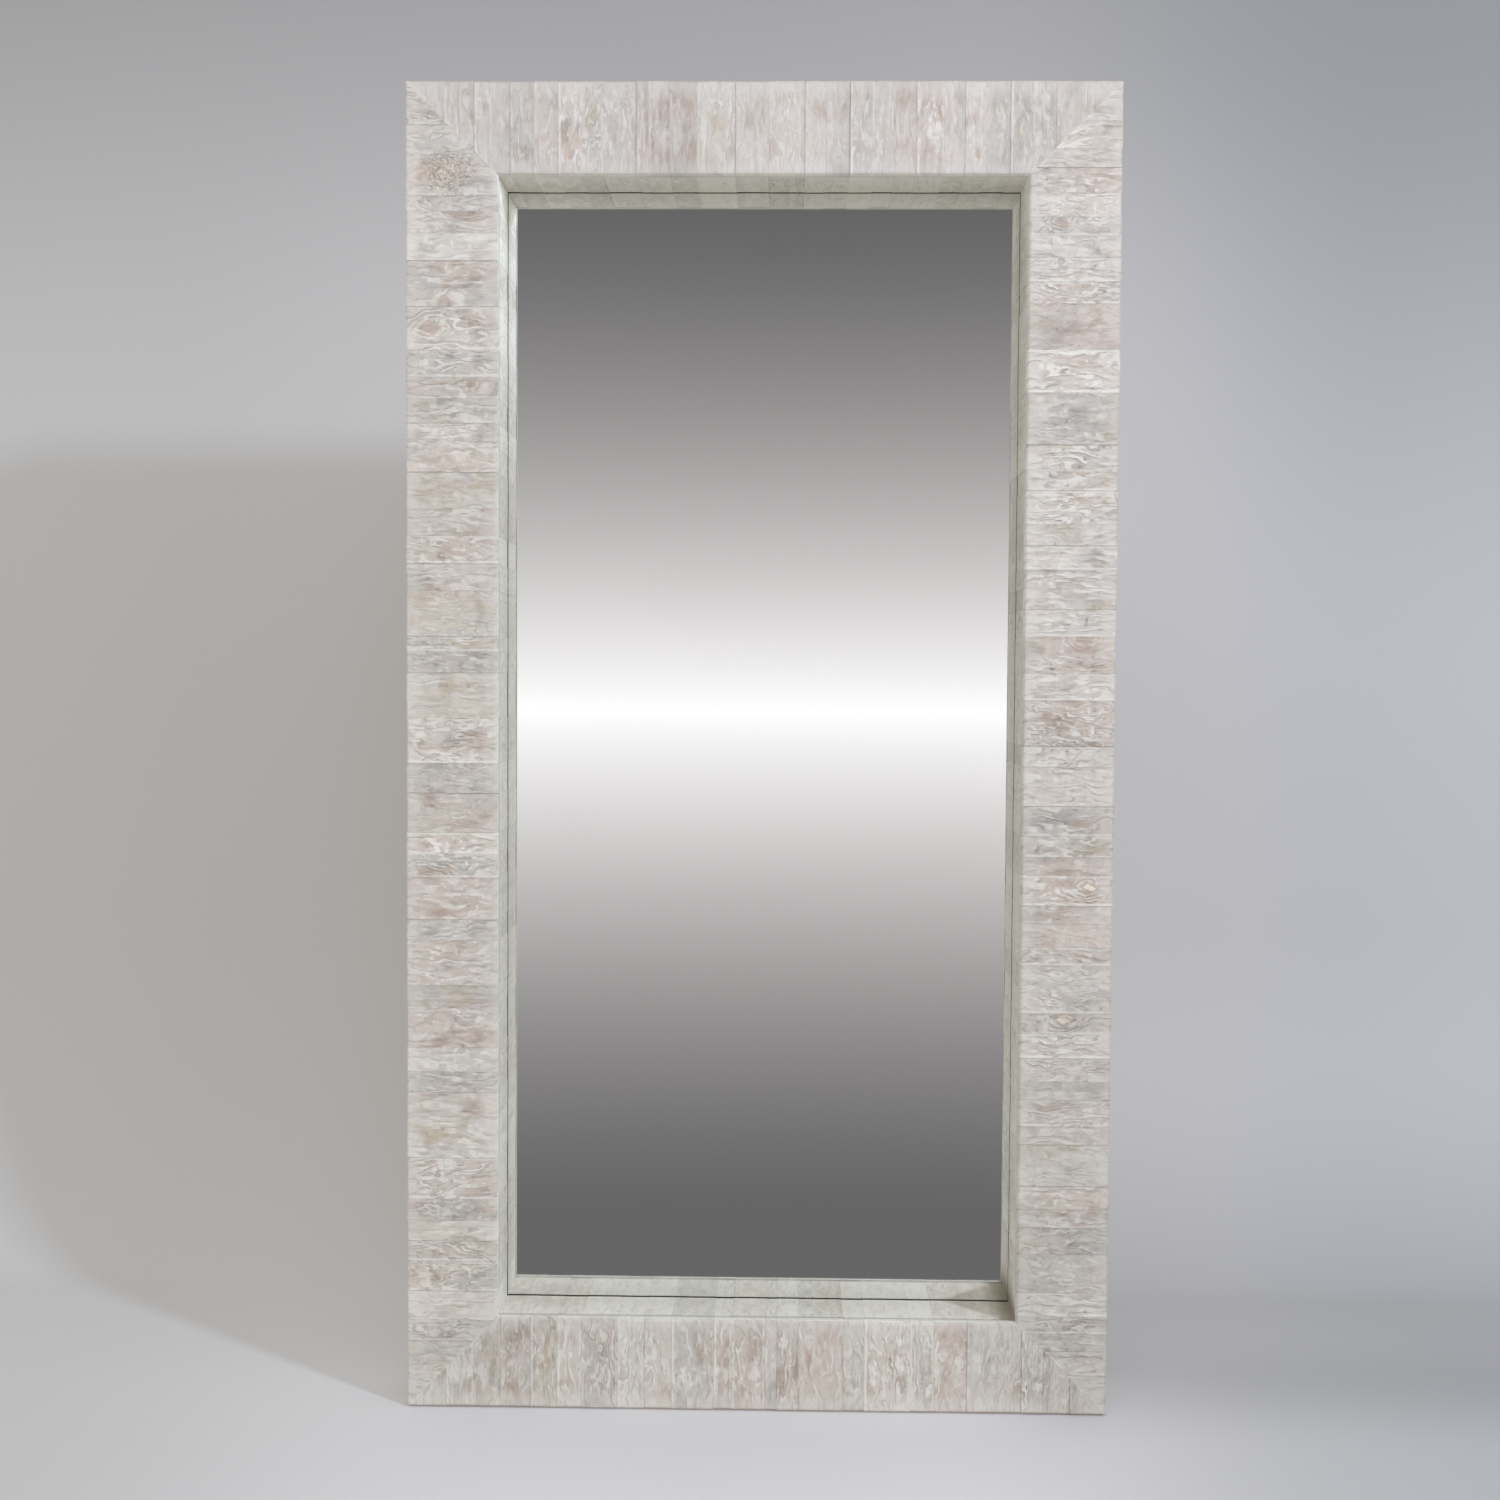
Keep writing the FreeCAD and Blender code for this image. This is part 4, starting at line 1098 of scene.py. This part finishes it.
hardboard = {"ease": 0.0004, "pale": (0.400, 0.275, 0.175, 1), "deep": (0.270, 0.175, 0.105, 1)}


def hardboardMaterial():
    material, graph, place = newMaterial("hardboard")
    flecks = graph.pattern(place, (420, 420, 160), 3, 0.65)
    crossFlecks = graph.pattern(place, (150, 430, 430), 3, 0.65)
    clouds = graph.pattern(place, (7, 7, 7), 4, 0.6)
    fibre = flecks.math("MAXIMUM", crossFlecks)
    shade = (fibre - 0.45) * 1.8 + (clouds - 0.5) * 0.8
    colour = graph.mix(graph.add("ShaderNodeClamp", {}, shade), hardboard["deep"], hardboard["pale"])
    graph.principled(basecolor=colour, roughness=0.45 + clouds * 0.2, normal=graph.bump(fibre, 0.00015))
    return material


metal = {
    "ease": 0.00025,
    "zinc": (0.640, 0.645, 0.635, 1),
    "dull": (0.500, 0.505, 0.505, 1),
    "yellowZinc": (0.680, 0.600, 0.400, 1),
    "dullYellow": (0.560, 0.500, 0.390, 1),
}


def platedMaterial(name, bright, dull):
    material, graph, place = newMaterial(name)
    clouds = graph.pattern(place, (140, 140, 140), 4, 0.6)
    scratches = graph.pattern(place, (2600, 900, 120), 2, 0.6)
    colour = graph.mix(graph.ramp(clouds, 0.35, 0.7), bright, dull)
    roughness = 0.26 + clouds * 0.22 + graph.ramp(scratches, 0.55, 0.7) * 0.12
    graph.principled(basecolor=colour, metallic=1.0, roughness=roughness,
                     normal=graph.bump(clouds + scratches * 0.4, 0.00006))
    return material


soft = {
    "rubber": (0.035, 0.035, 0.036, 1),
    "dust": (0.085, 0.082, 0.078, 1),
    "felt": (0.260, 0.240, 0.220, 1),
    "fluff": (0.420, 0.400, 0.370, 1),
}


def rubberMaterial():
    material, graph, place = newMaterial("blackRubber")
    grains = graph.pattern(place, (900, 900, 900), 3, 0.6)
    dust = graph.pattern(place, (90, 90, 90), 3, 0.6)
    colour = graph.mix(graph.ramp(dust, 0.5, 0.75) * 0.7, soft["rubber"], soft["dust"])
    graph.principled(basecolor=colour, roughness=0.62 + dust * 0.25, normal=graph.bump(grains, 0.00008))
    return material


def feltMaterial():
    material, graph, place = newMaterial("denseFelt")
    hairs = graph.pattern(place, (1500, 1100, 2200), 3, 0.7, 1.5)
    tufts = graph.pattern(place, (300, 300, 500), 3, 0.6)
    colour = graph.mix(graph.ramp(hairs + tufts * 0.5, 0.5, 1.0), soft["felt"], soft["fluff"])
    graph.principled(basecolor=colour, roughness=0.95, normal=graph.bump(hairs + tufts, 0.0004))
    return material


def coverNodes(material, *nodeNames):
    # a hidden or small CAD node keeps its own mesh
    for nodeName in nodeNames:
        mesh = nodes[nodeName].data
        mesh.materials.clear()
        mesh.materials.append(material)


def buildBack():
    plywoods = {upright: plywoodMaterial("plywoodUpright" if upright else "plywoodLevel", upright)
                for upright in (True, False)}
    pines = {upright: pineMaterial("pineUpright" if upright else "pineLevel", upright)
             for upright in (True, False)}
    for side in inwards:
        upright = side in ("left", "right")
        piece = easedCopy(f"{side}_rear_board", f"{side}RearBoard", board["ease"])
        finishPiece(piece, plywoods[upright], "plywood", f"{side}_rear_board")
        coverNodes(plywoods[upright], f"{side}_face_board")
        coverNodes(pines[upright], f"{side}_inner_batten", f"{side}_outer_batten")
    coverNodes(pines[True], "corner_blocks", "spacer_blocks")
    panel = easedCopy("backing_panel", "backingPanel", hardboard["ease"])
    finishPiece(panel, hardboardMaterial(), "hardboard", "backing_panel")
    print("boards done")


def buildHardware():
    zinc = platedMaterial("zincPlating", metal["zinc"], metal["dull"])
    yellowZinc = platedMaterial("yellowZincPlating", metal["yellowZinc"], metal["dullYellow"])
    plates = easedCopy("corner_plates", "cornerPlates", metal["ease"])
    finishPiece(plates, zinc, "zinc_steel", "corner_plates")
    for side in ("left", "right"):
        strap = easedCopy(f"{side}_hanger_strap", f"{side}HangerStrap", metal["ease"])
        finishPiece(strap, zinc, "zinc_steel", f"{side}_hanger_strap")
        ring = mergedCopy(f"{side}_hanger_ring", f"{side}HangerRing")
        onlySelect(ring)
        bpy.ops.object.shade_smooth_by_angle(angle=smoothAngle)
        finishPiece(ring, zinc, "zinc_steel", f"{side}_hanger_ring", body=f"{side}_ring")
    coverNodes(yellowZinc, "backing_panel_screws", "corner_plate_screws", "hanger_screws")
    coverNodes(rubberMaterial(), "wall_bumpers", "setting_blocks")
    coverNodes(feltMaterial(), "floor_glides")
    print("hardware done")


setCamera()
paper = studioMaterial()
for sheet in modelStudio():
    sheet.data.materials.append(paper)
setLamps()
setWorld()
print("studio done")
buildStaves()
buildMirror()
print("mirror done")
buildBack()
buildHardware()
